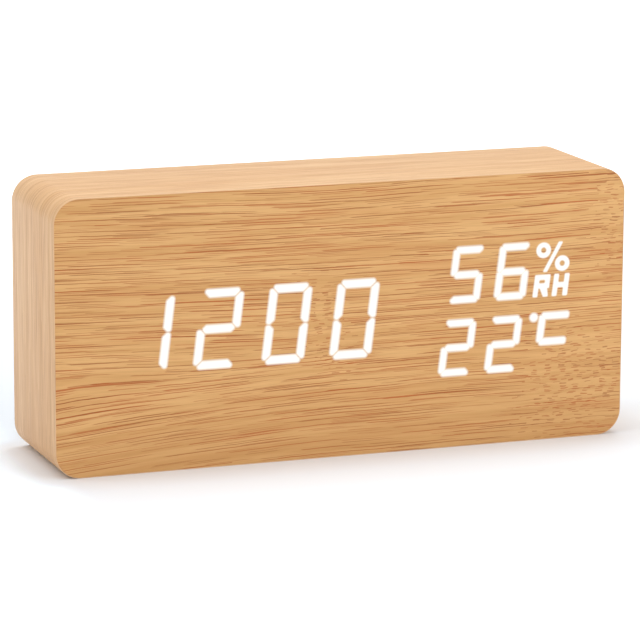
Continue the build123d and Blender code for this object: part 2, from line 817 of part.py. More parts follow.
with BuildPart() as rear_cover:
    with BuildSketch(upright(cover_rear_y)):
        with Locations((0, mid_z)):
            RectangleRounded(recess_width - 2 * drop_in_clearance, recess_height - 2 * drop_in_clearance,
                             cover_corner_radius - drop_in_clearance)
    extrude(amount=cover_thickness)
    rear_rim = rear_cover.edges().group_by(Axis.Y)[-1]
    fillet(rear_rim, radius=cover_edge_round)

    # Battery bay, with a ledge for the door round its mouth
    with BuildSketch(upright(cover_front_y)):
        with Locations((bay_x, mid_z)):
            Rectangle(bay_length + 2 * bay_wall, bay_height + 2 * bay_wall)
    extrude(amount=cover_front_y - bay_front_y)
    with BuildSketch(upright(cover_rear_y)):
        with Locations((bay_x, mid_z)):
            Rectangle(opening_length, opening_height)
        with Locations((bay_x, mid_z + (opening_height + door_latch_reach) / 2)):
            Rectangle(door_latch_width + 2 * door_latch_gap, door_latch_reach)
    extrude(amount=cover_thickness, mode=Mode.SUBTRACT)
    with BuildSketch(upright(cover_front_y)):
        with Locations((bay_x, mid_z)):
            Rectangle(bay_length, bay_height)
    extrude(amount=cover_front_y - bay_floor_y, mode=Mode.SUBTRACT)

    # Slots in the bay's lower wall for the door's tongues
    with BuildSketch(upright(cover_front_y)):
        with Locations((bay_x - tongue_spread / 2, bay_low - bay_wall / 2),
                       (bay_x + tongue_spread / 2, bay_low - bay_wall / 2)):
            Rectangle(door_tongue_width + 2 * door_slot_gap, bay_wall)
    extrude(amount=door_slot_depth, mode=Mode.SUBTRACT)

    # Finger notch above the door
    with BuildSketch(upright(cover_rear_y)):
        with Locations((bay_x, mid_z + opening_height / 2 + door_latch_reach)):
            Ellipse(finger_notch_width / 2, finger_notch_reach)
            with Locations((0, -finger_notch_reach / 2)):
                Rectangle(finger_notch_width, finger_notch_reach, mode=Mode.SUBTRACT)
    extrude(amount=finger_notch_depth, mode=Mode.SUBTRACT)

    # Slots in the bay's ends for the contacts' solder tabs
    tab_slot = tab_thickness + 2 * tab_slot_gap
    with BuildSketch(Plane.YZ.offset(bay_left - bay_wall)):
        with Locations((bay_floor_y + tab_slot / 2, cell_z[0])):
            Rectangle(tab_slot, tab_width + 2 * tab_slot_gap)
    extrude(amount=bay_wall, mode=Mode.SUBTRACT)
    with BuildSketch(Plane.YZ.offset(bay_right)):
        with Locations((bay_floor_y + tab_slot / 2, cell_z[2])):
            Rectangle(tab_slot, tab_width + 2 * tab_slot_gap)
    extrude(amount=bay_wall, mode=Mode.SUBTRACT)

    # Posts for the main board
    with BuildSketch(upright(cover_front_y)):
        with Locations(*post_places):
            Circle(post_diameter / 2)
    extrude(amount=post_length)
    with BuildSketch(upright(main_rear_y)):
        with Locations(*post_places):
            Circle(small_shank_diameter / 2 + screw_clearance)
    extrude(amount=-(board_screw_length - main_board_thickness + screw_tip_gap), mode=Mode.SUBTRACT)

    # Holes for the buttons, the slide switch, the power inlet, sound and air
    with BuildSketch(upright(cover_rear_y)):
        with Locations(*[(x, button_z) for x in button_x]):
            Circle(button_diameter / 2 + moving_clearance)
        with Locations((slider_x + slider_travel / 2, mid_z)):
            Rectangle(slider_knob_width + slider_travel + 2 * moving_clearance,
                      slider_knob_height + 2 * moving_clearance)
        with Locations((inlet_x, lower_z)):
            Rectangle(inlet_width + 2 * inlet_opening_gap, inlet_height + 2 * inlet_opening_gap)
        with Locations((buzzer_x, lower_z)):
            Circle(sound_hole_radius)
            with PolarLocations(sound_hole_ring_radius, sound_hole_count):
                Circle(sound_hole_radius)
        with Locations((sensor_x, lower_z)):
            with GridLocations(0, vent_pitch, 1, vent_count):
                SlotOverall(vent_length, vent_width)
        with Locations((microphone_x, microphone_z)):
            Circle(microphone_hole_radius)
    extrude(amount=cover_thickness, mode=Mode.SUBTRACT)

    # Raised rings round the button holes
    with BuildSketch(upright(cover_rear_y + ring_depth)):
        with Locations(*[(x, button_z) for x in button_x]):
            Circle(button_diameter / 2 + moving_clearance + ring_width)
            Circle(button_diameter / 2 + moving_clearance, mode=Mode.SUBTRACT)
    extrude(amount=ring_depth)

    # Counterbored screw holes at the corners
    with BuildSketch(upright(cover_rear_y)):
        with Locations(*corner_places):
            Circle(large_shank_diameter / 2 + drop_in_clearance)
    extrude(amount=cover_thickness, mode=Mode.SUBTRACT)
    with BuildSketch(upright(cover_rear_y)):
        with Locations(*corner_places):
            Circle(large_head_diameter / 2 + drop_in_clearance)
    extrude(amount=counterbore_depth, mode=Mode.SUBTRACT)
rear_cover.part.label = "rear_cover"
export_step(rear_cover.part, "parts/rear_cover.step")

rear_cover_screws = screw_group(
    corner_places, cover_rear_y - counterbore_depth, 1, cover_screw_length,
    large_shank_diameter, large_head_diameter, large_head_height)
rear_cover_screws.part.label = "rear_cover_screws"
export_step(rear_cover_screws.part, "parts/rear_cover_screws.step")

# Battery door, which swings out about its lower outer edge

with BuildPart() as battery_door:
    with BuildSketch(upright(cover_rear_y)):
        with Locations((bay_x, mid_z)):
            Rectangle(door_length, door_height)
        with Locations((bay_x, door_top + (door_latch_reach - door_latch_gap) / 2)):
            Rectangle(door_latch_width, door_latch_reach - door_latch_gap)
    extrude(amount=door_thickness)
    with BuildSketch(upright(cover_rear_y)):
        with Locations((bay_x, door_top - grip_inset - (grip_rib_count - 1) * grip_rib_pitch / 2)):
            with GridLocations(0, grip_rib_pitch, 1, grip_rib_count):
                SlotOverall(grip_rib_length, grip_rib_width)
    extrude(amount=grip_rib_depth, mode=Mode.SUBTRACT)
    tongue_x = [bay_x - tongue_spread / 2, bay_x + tongue_spread / 2]
    with BuildSketch(upright(door_front_y)):
        with Locations(*[(x, door_low + door_tongue_root / 2) for x in tongue_x]):
            Rectangle(door_tongue_width, door_tongue_root)
    extrude(amount=door_front_y - tongue_front_y)
    with BuildSketch(upright(tongue_rear_y)):
        with Locations(*[(x, door_low - door_tongue_reach / 2) for x in tongue_x]):
            Rectangle(door_tongue_width, door_tongue_reach)
    extrude(amount=door_tongue_thickness)
battery_door.part.label = "battery_door"
export_step(battery_door.part, "parts/battery_door.step")

# Cells in series: the lower and the upper cell point right, the middle one points left

for name, z, way in (("cell_lower", cell_z[0], 1), ("cell_middle", cell_z[1], -1), ("cell_upper", cell_z[2], 1)):
    foot_x = bay_left + negative_room if way > 0 else bay_right - negative_room
    with BuildPart() as cell:
        with BuildSketch(Plane.YZ.offset(foot_x)):
            with Locations((cell_y, z)):
                Circle(cell_diameter / 2)
        extrude(amount=way * cell_body_length)
        fillet(cell.edges().filter_by(GeomType.CIRCLE), radius=cell_edge_round)
        with BuildSketch(Plane.YZ.offset(foot_x + way * cell_body_length)):
            with Locations((cell_y, z)):
                Circle(cell_nub_diameter / 2)
        extrude(amount=way * cell_nub_length)
    cell.part.label = name
    export_step(cell.part, f"parts/{name}.step")


def battery_contact(wall_x, way, dimples, leaves, tab=None):
    """Sheet-metal contact on the bay's end wall at wall_x. Dimples meet the positive ends and
    bowed leaves the negative ends at the given heights, and a tab goes out through the wall."""
    heights = dimples + leaves
    low = min(heights) - contact_height / 2
    high = max(heights) + contact_height / 2
    with BuildPart() as contact:
        with BuildSketch(Plane.YZ.offset(wall_x)):
            with Locations((cell_y, (low + high) / 2)):
                Rectangle(contact_depth, high - low)
        extrude(amount=way * contact_thickness)
        for z in dimples:
            with BuildSketch(Plane.YZ.offset(wall_x)):
                with Locations((cell_y, z)):
                    Circle(dimple_radius)
            extrude(amount=way * (positive_room - seat_gap))
        for z in leaves:
            foot_x = wall_x + way * contact_thickness / 2
            crest_x = wall_x + way * (negative_room - seat_gap - contact_thickness / 2)
            with BuildSketch(Plane.XY.offset(z - leaf_width / 2)):
                with BuildLine():
                    ThreePointArc((foot_x, cell_y - leaf_foot_spread / 2), (crest_x, cell_y),
                                  (foot_x, cell_y + leaf_foot_spread / 2))
                trace(line_width=contact_thickness)
            extrude(amount=leaf_width)
        if tab is not None:
            tab_y = bay_floor_y + tab_slot_gap
            with BuildSketch(Plane.YZ.offset(wall_x + way * contact_thickness)):
                with Locations((tab_y + tab_thickness / 2, tab)):
                    Rectangle(tab_thickness, tab_width)
            extrude(amount=-way * (contact_thickness + bay_wall + tab_length))
            with BuildSketch(Plane.YZ.offset(wall_x)):
                with Locations(((tab_y + cell_y) / 2, tab)):
                    Rectangle(cell_y - tab_y, tab_width)
            extrude(amount=way * contact_thickness)
    return contact


negative_contact = battery_contact(bay_left, 1, [], [cell_z[0]], cell_z[0])
negative_contact.part.label = "negative_contact"
export_step(negative_contact.part, "parts/negative_contact.step")

left_bridge_contact = battery_contact(bay_left, 1, [cell_z[1]], [cell_z[2]])
left_bridge_contact.part.label = "left_bridge_contact"
export_step(left_bridge_contact.part, "parts/left_bridge_contact.step")

right_bridge_contact = battery_contact(bay_right, -1, [cell_z[0]], [cell_z[1]])
right_bridge_contact.part.label = "right_bridge_contact"
export_step(right_bridge_contact.part, "parts/right_bridge_contact.step")

positive_contact = battery_contact(bay_right, -1, [cell_z[2]], [], cell_z[2])
positive_contact.part.label = "positive_contact"
export_step(positive_contact.part, "parts/positive_contact.step")


def battery_lead(points, z):
    """Insulated wire of two or more straight runs joined by tangent arcs, at height z."""
    with BuildPart() as wire:
        with BuildLine(Plane.XY.offset(z)) as path:
            FilletPolyline(*points, radius=lead_bend_radius)
        with BuildSketch(Plane(path.line @ 0, z_dir=path.line % 0)):
            Circle(lead_diameter / 2)
        sweep()
    return wire


# The leads start beside the tabs, pass in front of the bay and end on the main board's pads
tab_front_y = bay_floor_y + tab_slot_gap
lead_y = bay_front_y - lead_setback
pad_y = main_front_y - lead_diameter / 2
tab_end = bay_wall + tab_length / 2
step_run = pad_y - lead_y

negative_lead = battery_lead([
    (bay_left - tab_end, tab_front_y), (bay_left - tab_end, lead_y),
    (main_left - step_run, lead_y), (main_left, pad_y), (main_left + lead_tail, pad_y)], cell_z[0])
negative_lead.part.label = "negative_lead"
export_step(negative_lead.part, "parts/negative_lead.step")

positive_lead = battery_lead([
    (bay_right + tab_end, tab_front_y), (bay_right + tab_end, lead_y - lead_setback),
    (main_left + lead_setback / 2, lead_y - lead_setback),
    (main_left + step_run + 3 * lead_setback / 2, pad_y),
    (main_left + step_run + 3 * lead_setback / 2 + lead_tail / 2, pad_y)], cell_z[2])
positive_lead.part.label = "positive_lead"
export_step(positive_lead.part, "parts/positive_lead.step")

# Main board

with BuildPart() as main_board:
    with BuildSketch(upright(main_rear_y)):
        with Locations((main_x, mid_z)):
            Rectangle(main_width, main_board_height)
        with Locations(*post_places):
            Circle(small_shank_diameter / 2 + drop_in_clearance, mode=Mode.SUBTRACT)
    extrude(amount=main_board_thickness)
main_board.part.label = "main_board"
export_step(main_board.part, "parts/main_board.step")

main_board_screws = screw_group(
    post_places, main_front_y, -1, board_screw_length,
    small_shank_diameter, small_head_diameter, small_head_height)
main_board_screws.part.label = "main_board_screws"
export_step(main_board_screws.part, "parts/main_board_screws.step")

with BuildPart() as controller_chip:
    with BuildSketch(upright(main_front_y)):
        with Locations((chip_x, chip_z)):
            Rectangle(chip_length, chip_width)
    extrude(amount=chip_height)
    with BuildSketch(upright(main_front_y)):
        with Locations((chip_x, chip_z)):
            with GridLocations(chip_pin_pitch, chip_width + chip_pin_reach, chip_pin_count, 2):
                Rectangle(chip_pin_width, chip_pin_reach)
    extrude(amount=chip_pin_height)
controller_chip.part.label = "controller_chip"
export_step(controller_chip.part, "parts/controller_chip.step")

with BuildPart() as timing_crystal:
    with BuildSketch(Plane.YZ.offset(crystal_x - crystal_length / 2)):
        with Locations((main_front_y - crystal_diameter / 2, chip_z)):
            Circle(crystal_diameter / 2)
    extrude(amount=crystal_length)
timing_crystal.part.label = "timing_crystal"
export_step(timing_crystal.part, "parts/timing_crystal.step")

with BuildPart() as coin_cell_holder:
    with BuildSketch(upright(main_front_y)):
        with Locations((coin_x, coin_z)):
            Circle(coin_diameter / 2 + coin_gap + coin_wall)
    extrude(amount=coin_floor + coin_gap + coin_thickness)
    with BuildSketch(upright(main_front_y - coin_floor)):
        with Locations((coin_x, coin_z)):
            Circle(coin_diameter / 2 + coin_gap)
    extrude(amount=coin_gap + coin_thickness, mode=Mode.SUBTRACT)
coin_cell_holder.part.label = "coin_cell_holder"
export_step(coin_cell_holder.part, "parts/coin_cell_holder.step")

with BuildPart() as coin_cell:
    with BuildSketch(upright(main_front_y - coin_floor - coin_gap)):
        with Locations((coin_x, coin_z)):
            Circle(coin_diameter / 2)
    extrude(amount=coin_thickness)
coin_cell.part.label = "coin_cell"
export_step(coin_cell.part, "parts/coin_cell.step")

with BuildPart() as buzzer:
    with BuildSketch(upright(main_rear_y)):
        with Locations((buzzer_x, lower_z)):
            Circle(buzzer_diameter / 2)
    extrude(amount=-buzzer_height)
    with BuildSketch(upright(main_rear_y + buzzer_height)):
        with Locations((buzzer_x, lower_z)):
            Circle(buzzer_hole_radius)
    extrude(amount=buzzer_hole_depth, mode=Mode.SUBTRACT)
buzzer.part.label = "buzzer"
export_step(buzzer.part, "parts/buzzer.step")

with BuildPart() as humidity_sensor:
    with BuildSketch(upright(main_rear_y)):
        with Locations((sensor_x, lower_z)):
            Rectangle(sensor_size, sensor_size)
    extrude(amount=-sensor_height)
    with BuildSketch(upright(main_rear_y + sensor_height)):
        with Locations((sensor_x, lower_z)):
            Circle(sensor_window_radius)
    extrude(amount=sensor_window_depth, mode=Mode.SUBTRACT)
humidity_sensor.part.label = "humidity_sensor"
export_step(humidity_sensor.part, "parts/humidity_sensor.step")

with BuildPart() as microphone:
    with BuildSketch(upright(main_rear_y)):
        with Locations((microphone_x, microphone_z)):
            Circle(microphone_diameter / 2)
    extrude(amount=-microphone_height)
microphone.part.label = "microphone"
export_step(microphone.part, "parts/microphone.step")

# Buttons, the plungers that they press, and the push switches

with BuildPart() as push_switches:
    with BuildSketch(upright(main_rear_y)):
        with Locations(*[(x, button_z) for x in button_x]):
            Rectangle(switch_size, switch_size)
    extrude(amount=-switch_height)
    with BuildSketch(upright(main_rear_y + switch_height)):
        with Locations(*[(x, button_z) for x in button_x]):
            Circle(button_stem_diameter / 2 + moving_clearance)
    extrude(amount=plunger_pocket_depth, mode=Mode.SUBTRACT)
push_switches.part.label = "push_switches"
export_step(push_switches.part, "parts/push_switches.step")

plunger_rear_y = main_rear_y + switch_height + plunger_reach
plunger_front_y = main_rear_y + switch_height - plunger_pocket_depth + button_travel + plunger_foot_gap
flange_rear_y = cover_front_y - button_flange_gap
for name, x in zip(("set", "up", "down"), button_x):
    with BuildPart() as plunger:
        with BuildSketch(upright(plunger_rear_y)):
            with Locations((x, button_z)):
                Circle(button_stem_diameter / 2)
        extrude(amount=plunger_rear_y - plunger_front_y)
    plunger.part.label = f"{name}_switch_plunger"
    export_step(plunger.part, f"parts/{name}_switch_plunger.step")

    with BuildPart() as button:
        with BuildSketch(upright(cover_rear_y + button_proud)):
            with Locations((x, button_z)):
                Circle(button_diameter / 2)
        extrude(amount=cover_rear_y + button_proud - flange_rear_y)
        fillet(button.edges().group_by(Axis.Y)[-1], radius=button_proud / 2)
        with BuildSketch(upright(cover_rear_y + button_proud)):
            with Locations((x, button_z)):
                Circle(button_stem_diameter / 2)
        extrude(amount=button_dish_depth, mode=Mode.SUBTRACT)
        with BuildSketch(upright(flange_rear_y)):
            with Locations((x, button_z)):
                Circle(button_flange_diameter / 2)
        extrude(amount=button_flange_thickness)
        with BuildSketch(upright(flange_rear_y - button_flange_thickness)):
            with Locations((x, button_z)):
                Circle(button_stem_diameter / 2)
        extrude(amount=flange_rear_y - button_flange_thickness - plunger_rear_y)
    button.part.label = f"{name}_button"
    export_step(button.part, f"parts/{name}_button.step")

# Slide switch, with its knob at the left end of its travel

slider_rear_y = main_rear_y + slider_body_height
with BuildPart() as sound_switch_body:
    with BuildSketch(upright(main_rear_y)):
        with Locations((slider_x + slider_travel / 2, mid_z)):
            Rectangle(slider_body_length, slider_body_width)
    extrude(amount=-slider_body_height)
    with BuildSketch(upright(slider_rear_y)):
        with Locations((slider_x + slider_travel / 2, mid_z)):
            Rectangle(slider_foot_length + slider_travel + 2 * moving_clearance,
                      slider_knob_height + 2 * moving_clearance)
    extrude(amount=slider_foot_depth + moving_clearance, mode=Mode.SUBTRACT)
sound_switch_body.part.label = "sound_switch_body"
export_step(sound_switch_body.part, "parts/sound_switch_body.step")

with BuildPart() as sound_switch_knob:
    with BuildSketch(upright(slider_rear_y)):
        with Locations((slider_x, mid_z)):
            Rectangle(slider_foot_length, slider_knob_height)
    extrude(amount=slider_foot_depth)
    with BuildSketch(upright(cover_rear_y + slider_knob_proud)):
        with Locations((slider_x, mid_z)):
            Rectangle(slider_knob_width, slider_knob_height)
    extrude(amount=cover_rear_y + slider_knob_proud - slider_rear_y)
sound_switch_knob.part.label = "sound_switch_knob"
export_step(sound_switch_knob.part, "parts/sound_switch_knob.step")

# Power inlet: a shell with one narrower side, a contact tongue and a base on the board

inlet_rear_y = cover_rear_y - inlet_sunk


def inlet_outline(inset):
    """Half-trapezium mouth of the inlet, drawn in from its outside by inset."""
    low = lower_z - inlet_height / 2 + inset
    high = lower_z + inlet_height / 2 - inset
    wide = inlet_width / 2 - inset
    narrow = inlet_narrow_width / 2 - inset
    return [(inlet_x - wide, high), (inlet_x - wide, lower_z), (inlet_x - narrow, low),
            (inlet_x + narrow, low), (inlet_x + wide, lower_z), (inlet_x + wide, high)]


with BuildPart() as usb_socket:
    with BuildSketch(upright(inlet_rear_y)):
        Polygon(*inlet_outline(0))
    extrude(amount=inlet_rear_y - main_rear_y)
    with BuildSketch(upright(inlet_rear_y)):
        Polygon(*inlet_outline(inlet_wall))
    extrude(amount=inlet_rear_y - main_rear_y - inlet_base_length, mode=Mode.SUBTRACT)
    with BuildSketch(upright(inlet_rear_y - inlet_tongue_setback)):
        with Locations((inlet_x, lower_z)):
            Rectangle(inlet_tongue_width, inlet_tongue_thickness)
    extrude(amount=inlet_rear_y - inlet_tongue_setback - main_rear_y - inlet_base_length)
usb_socket.part.label = "usb_socket"
export_step(usb_socket.part, "parts/usb_socket.step")
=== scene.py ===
"""Looks of a digital LED desk clock: a wood-look block whose lit digits shine through its face.

Places in this file are in metres on the part's own axes: X along the face, Y to the back, Z up.
Each material reads its places in millimetres.
"""

from math import cos, pi, sin, tan, radians

import bmesh
import bpy
import numpy as np
from mathutils import Matrix, Vector
from mathutils.geometry import tessellate_polygon


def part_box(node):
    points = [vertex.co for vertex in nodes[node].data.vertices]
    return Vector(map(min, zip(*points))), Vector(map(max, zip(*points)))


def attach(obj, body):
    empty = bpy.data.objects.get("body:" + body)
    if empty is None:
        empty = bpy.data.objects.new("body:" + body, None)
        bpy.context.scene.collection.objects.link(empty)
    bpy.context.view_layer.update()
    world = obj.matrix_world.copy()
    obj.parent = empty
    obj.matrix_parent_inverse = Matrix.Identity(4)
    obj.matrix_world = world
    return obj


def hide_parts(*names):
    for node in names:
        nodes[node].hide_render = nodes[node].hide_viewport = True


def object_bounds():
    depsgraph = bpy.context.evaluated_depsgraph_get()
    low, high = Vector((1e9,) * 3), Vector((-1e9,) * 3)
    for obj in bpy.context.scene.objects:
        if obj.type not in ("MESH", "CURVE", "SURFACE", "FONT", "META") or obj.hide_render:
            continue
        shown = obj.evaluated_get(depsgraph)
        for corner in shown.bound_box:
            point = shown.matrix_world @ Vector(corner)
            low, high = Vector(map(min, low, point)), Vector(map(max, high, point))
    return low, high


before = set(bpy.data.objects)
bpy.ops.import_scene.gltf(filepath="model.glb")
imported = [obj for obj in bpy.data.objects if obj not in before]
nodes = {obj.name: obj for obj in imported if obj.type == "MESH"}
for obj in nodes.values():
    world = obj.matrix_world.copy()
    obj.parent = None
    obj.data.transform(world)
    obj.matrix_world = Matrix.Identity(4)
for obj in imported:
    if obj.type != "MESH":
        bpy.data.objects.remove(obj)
cad_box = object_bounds()
box_of = {name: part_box(name) for name in nodes}

MM = 0.001

# The block, with the radii that round the edges of its wrap and its face
half_width = cad_box[1].x
half_height = cad_box[1].z / 2
half_depth = cad_box[1].y
corner_radius = 6.4 * MM
wrap_thickness = 0.5 * MM
wrap_edge = 0.13 * MM
lip_thickness = 0.2 * MM
face_thickness = 0.6 * MM
face_edge = 0.1 * MM
face_setback = 0.03 * MM
face_room = 0.05 * MM

# The finish of the veneers
veneer_ior = 1.4
face_roughness = 0.5
face_relief = 0.03 * MM
wrap_relief = 0.02 * MM

# The light in the face
lean = radians(7.2)
glow_slope = 0.022 * MM
glow_thickness = 0.1 * MM
least_slimness = 1.8
least_hole = 1.0 * MM ** 2

# Radius, inset, spread and stretch of the light's shapes
large_glow = (0.8 * MM, 0.42 * MM, 0.24 * MM, 0.34 * MM)
small_glow = (0.7 * MM, 0.33 * MM, 0.37 * MM, 0.55 * MM)
letter_glow = (0.4 * MM, 0.2 * MM, 0.2 * MM, 0.0)

# Marks on the rear cover
cover_y = box_of["battery_door"][1].y
mark_height = 0.08 * MM
mark_radius = 1.1 * MM
mark_hole = mark_radius * 0.6
arrow_radius = mark_radius * 1.15
mark_gap = 2.6 * MM
letter_size = 2.6 * MM

# Meshes
sharp_from = radians(30)
merge_within = 0.0005 * MM
flat_within = 0.002 * MM
least_step = 0.001 * MM
least_area = 1e-8 * MM ** 2


def paint(red, green, blue):
    """A colour as it looks on a screen, 0 to 255, turned into light."""
    def light(c):
        c = c / 255
        return c / 12.92 if c <= 0.04045 else ((c + 0.055) / 1.055) ** 2.4
    return (light(red), light(green), light(blue), 1.0)


# Materials
class Wire:
    """One output of a look's nodes. Sums, products and powers of wires add Math nodes."""

    def __init__(self, look, socket):
        self.look = look
        self.socket = socket

    def __add__(self, other):
        return self.look.math("ADD", self, other)

    __radd__ = __add__

    def __sub__(self, other):
        return self.look.math("SUBTRACT", self, other)

    def __rsub__(self, other):
        return self.look.math("SUBTRACT", other, self)

    def __mul__(self, other):
        return self.look.math("MULTIPLY", self, other)

    __rmul__ = __mul__

    def __truediv__(self, other):
        return self.look.math("DIVIDE", self, other)

    def __rtruediv__(self, other):
        return self.look.math("DIVIDE", other, self)

    def __pow__(self, other):
        return self.look.math("POWER", self, other)


class Look:
    """A material or a world, its owner, and the nodes that make it."""

    def __init__(self, name, kind=bpy.data.materials):
        self.owner = kind.new(name)
        self.owner.use_nodes = True
        self.tree = self.owner.node_tree
        self.tree.nodes.clear()

    def node(self, kind, settings=None, inputs=None, output=0):
        """Adds a node. Its inputs take wires or fixed values."""
        made = self.tree.nodes.new(kind)
        for name, value in (settings or {}).items():
            setattr(made, name, value)
        for name, value in (inputs or {}).items():
            if isinstance(value, Wire):
                self.tree.links.new(value.socket, made.inputs[name])
            else:
                made.inputs[name].default_value = value
        return None if output is None else Wire(self, made.outputs[output])

    def math(self, operation, *values):
        """A Math node with one or two inputs."""
        return self.node("ShaderNodeMath", {"operation": operation}, dict(enumerate(values)))

    def clamp(self, value):
        """A value cut to the range from 0 to 1."""
        return self.node("ShaderNodeClamp", inputs={"Value": value})

    def parts(self, vector):
        """The three numbers of a vector."""
        first = self.node("ShaderNodeSeparateXYZ", inputs={0: vector})
        return [Wire(self, socket) for socket in first.socket.node.outputs]

    def places(self):
        """X, Y and Z in millimetres."""
        return [part * (1 / MM) for part in self.parts(self.node("ShaderNodeTexCoord", output="Object"))]

    def seen(self):
        """1 for what the camera sees, straight, in a mirror or through glass, and 0 for other light."""
        camera, mirror, glass = (self.node("ShaderNodeLightPath", output="Is " + kind + " Ray")
                                 for kind in ("Camera", "Glossy", "Transmission"))
        return self.clamp(camera + mirror + glass)

    def unrolled(self):
        """The two ways along a piece's surface in millimetres, from its UV map."""
        return self.parts(self.node("ShaderNodeTexCoord", output="UV"))[:2]

    def noise(self, x, y, z, detail=2.0, roughness=0.5):
        """Soft noise from 0 to 1, one grain per unit."""
        at = self.node("ShaderNodeCombineXYZ", inputs={0: x, 1: y, 2: z})
        return self.node("ShaderNodeTexNoise", {"noise_dimensions": "3D"},
                         {"Vector": at, "Scale": 1.0, "Detail": detail, "Roughness": roughness})

    def smooth(self, value, low, high):
        """0 below low, 1 above high and a soft step between."""
        return self.node("ShaderNodeMapRange", {"interpolation_type": "SMOOTHSTEP"},
                         {"Value": value, "From Min": low, "From Max": high})

    def away(self, value, middle):
        """How far a value is from the middle."""
        return self.math("ABSOLUTE", value - middle)

    def bell(self, value, middle, reach):
        """1 at the middle and 0 further away than the reach."""
        return 1.0 - self.smooth(self.away(value, middle), 0.0, reach)

    def whole(self, value):
        """The whole number below a value."""
        return self.math("FLOOR", value)

    def chances(self, x, y, z):
        """Four random numbers from 0 to 1, the same for the same x, y and z."""
        at = self.node("ShaderNodeCombineXYZ", inputs={0: x, 1: y, 2: z})
        value = self.node("ShaderNodeTexWhiteNoise", {"noise_dimensions": "3D"}, {"Vector": at})
        colour = Wire(self, value.socket.node.outputs["Color"])
        return [value] + self.parts(colour)

    def streaks(self, along, across, length, pitch, most, share, seed):
        """Fine lines that start blunt and run out to a point, each at a random place in its own cell.

        Cells are a pitch high and a length long, and each row of cells is shifted by chance. A line
        lies at across = pitch (row + 0.2 + 0.6 c), from along = length (column + 0.25 a) and over a
        share 0.4 + 0.35 b of the length. Half its thickness is at most the number most. Share is how
        many of the cells hold a line.
        """
        row = self.whole(across / pitch)
        shift = self.chances(row, seed, 0.5)[0]
        place = along / length + 9.7 * shift
        column = self.whole(place)
        chance, a, b, c = self.chances(row, column, seed)
        run = (place - column - 0.25 * a) / (0.4 + 0.35 * b)
        body = self.smooth(run, 0.0, 0.1) * (1.0 - self.smooth(run, 0.6, 1.0))
        off = self.away(across - pitch * row, pitch * (0.2 + 0.6 * c))
        half = most * (0.5 + 0.5 * a) * (0.4 + 0.6 * body)
        line = (1.0 - self.smooth(off, half * 0.6, half + 0.02)) * self.smooth(body, 0.0, 0.6)
        return line * self.math("LESS_THAN", chance, share)

    def mix(self, share, first, second):
        """From the first colour to the second as the share goes from 0 to 1."""
        return self.node("ShaderNodeMix", {"data_type": "RGBA"}, {0: share, 6: first, 7: second}, output=2)

    def bump(self, height, depth):
        """A relief: height from 0 to 1 stands for a depth in metres."""
        return self.node("ShaderNodeBump", inputs={"Height": height, "Strength": 1.0, "Distance": depth})

    def surface(self, colour, roughness, relief=None, **more):
        """Joins the colour, the roughness and the relief to the surface."""
        inputs = {"Base Color": colour, "Roughness": roughness}
        if relief is not None:
            inputs["Normal"] = relief
        inputs.update({name.replace("_", " "): value for name, value in more.items()})
        shader = self.node("ShaderNodeBsdfPrincipled", inputs=inputs)
        self.node("ShaderNodeOutputMaterial", inputs={"Surface": shader}, output=None)
        return self.owner


def face_grain(look):
    """The bamboo-look print of the face: its colour and its relief.

    The streaks run along X. Their height on the face, v, is z moved by a slow wave, a quick wave and
    a fan that spreads the lines towards the left: fan = a u / (1 + u u), with u the height above the
    fan's middle line and a growing to the left. Above that line the fan is weaker. Three joints of
    the cane, the knots, break the streaks into short flecks.
    """
    x, y, z = look.places()
    height = (z - 25.0) / 15.0
    under, over = look.math("MINIMUM", height, 0.0), look.math("MAXIMUM", height, 0.0)
    spread = under / (1.0 + under * under) + 0.3 * over / (1.0 + over * over)
    fan = 10.5 * spread * look.clamp(x / -75.0) ** 1.5
    slow = look.noise(x / 75.0, 1.7, z / 22.0, 1.0) - 0.5
    quick = look.noise(x / 6.0, 4.2, z / 1.6, 2.0) - 0.5
    knots = look.clamp(
        1.3 * look.bell(x + 0.25 * (z - 34.0), -5.0, 8.0) * look.bell(z, 33.0, 17.0)
        + 1.6 * look.bell(x, 61.0, 19.0) * look.bell(z, 15.0, 20.0)
        + 1.3 * look.bell(x, 75.0, 11.0) * look.bell(z, 56.0, 20.0))
    v = z - fan + 2.6 * slow + (0.25 + 1.4 * knots) * quick
    crowd = look.noise(x / 40.0, 9.1, v / 3.0, 2.0)
    tone = look.noise(x / 50.0, 3.3, v / 1.6, 3.0, 0.6)
    fine = look.noise(x / 9.0, 5.5, v / 0.24, 2.0, 0.6)
    calm = look.smooth(z, 4.0, 30.0) * 0.35 + 0.65
    share = (1.0 - 0.8 * knots) * calm
    main = look.streaks(x, v, 52.0, 0.85, 0.12, share * look.smooth(crowd, 0.15, 0.5), 1.0)
    main = main + look.streaks(x, v + 0.4, 84.0, 1.4, 0.14, share * 0.7, 2.0)
    thin = look.streaks(x, v, 24.0, 0.42, 0.08, share * 0.85, 3.0)
    flecks = look.streaks(x, v, 3.8, 0.62, 0.18, knots * 0.95, 4.0)
    body = look.mix(look.smooth(tone, 0.34, 0.7), paint(230, 181, 119), paint(216, 163, 101))
    body = look.mix(0.35 * look.smooth(fine, 0.4, 0.7), body, paint(204, 150, 90))
    body = look.mix(look.smooth(crowd, 0.5, 0.75) * 0.4, body, paint(212, 150, 90))
    body = look.mix(0.25 * look.smooth(18.0 - z + 0.05 * x, -6.0, 14.0), body, paint(190, 138, 80))
    shade = look.smooth(look.noise(x / 30.0, 6.1, v / 2.0), 0.35, 0.6)
    ink = look.mix(shade, paint(162, 85, 32), paint(189, 101, 46))
    colour = look.mix(look.clamp(0.86 * main + 0.62 * thin + 0.62 * flecks), body, ink)
    return colour, 1.0 - look.clamp(main + 0.6 * thin + flecks)


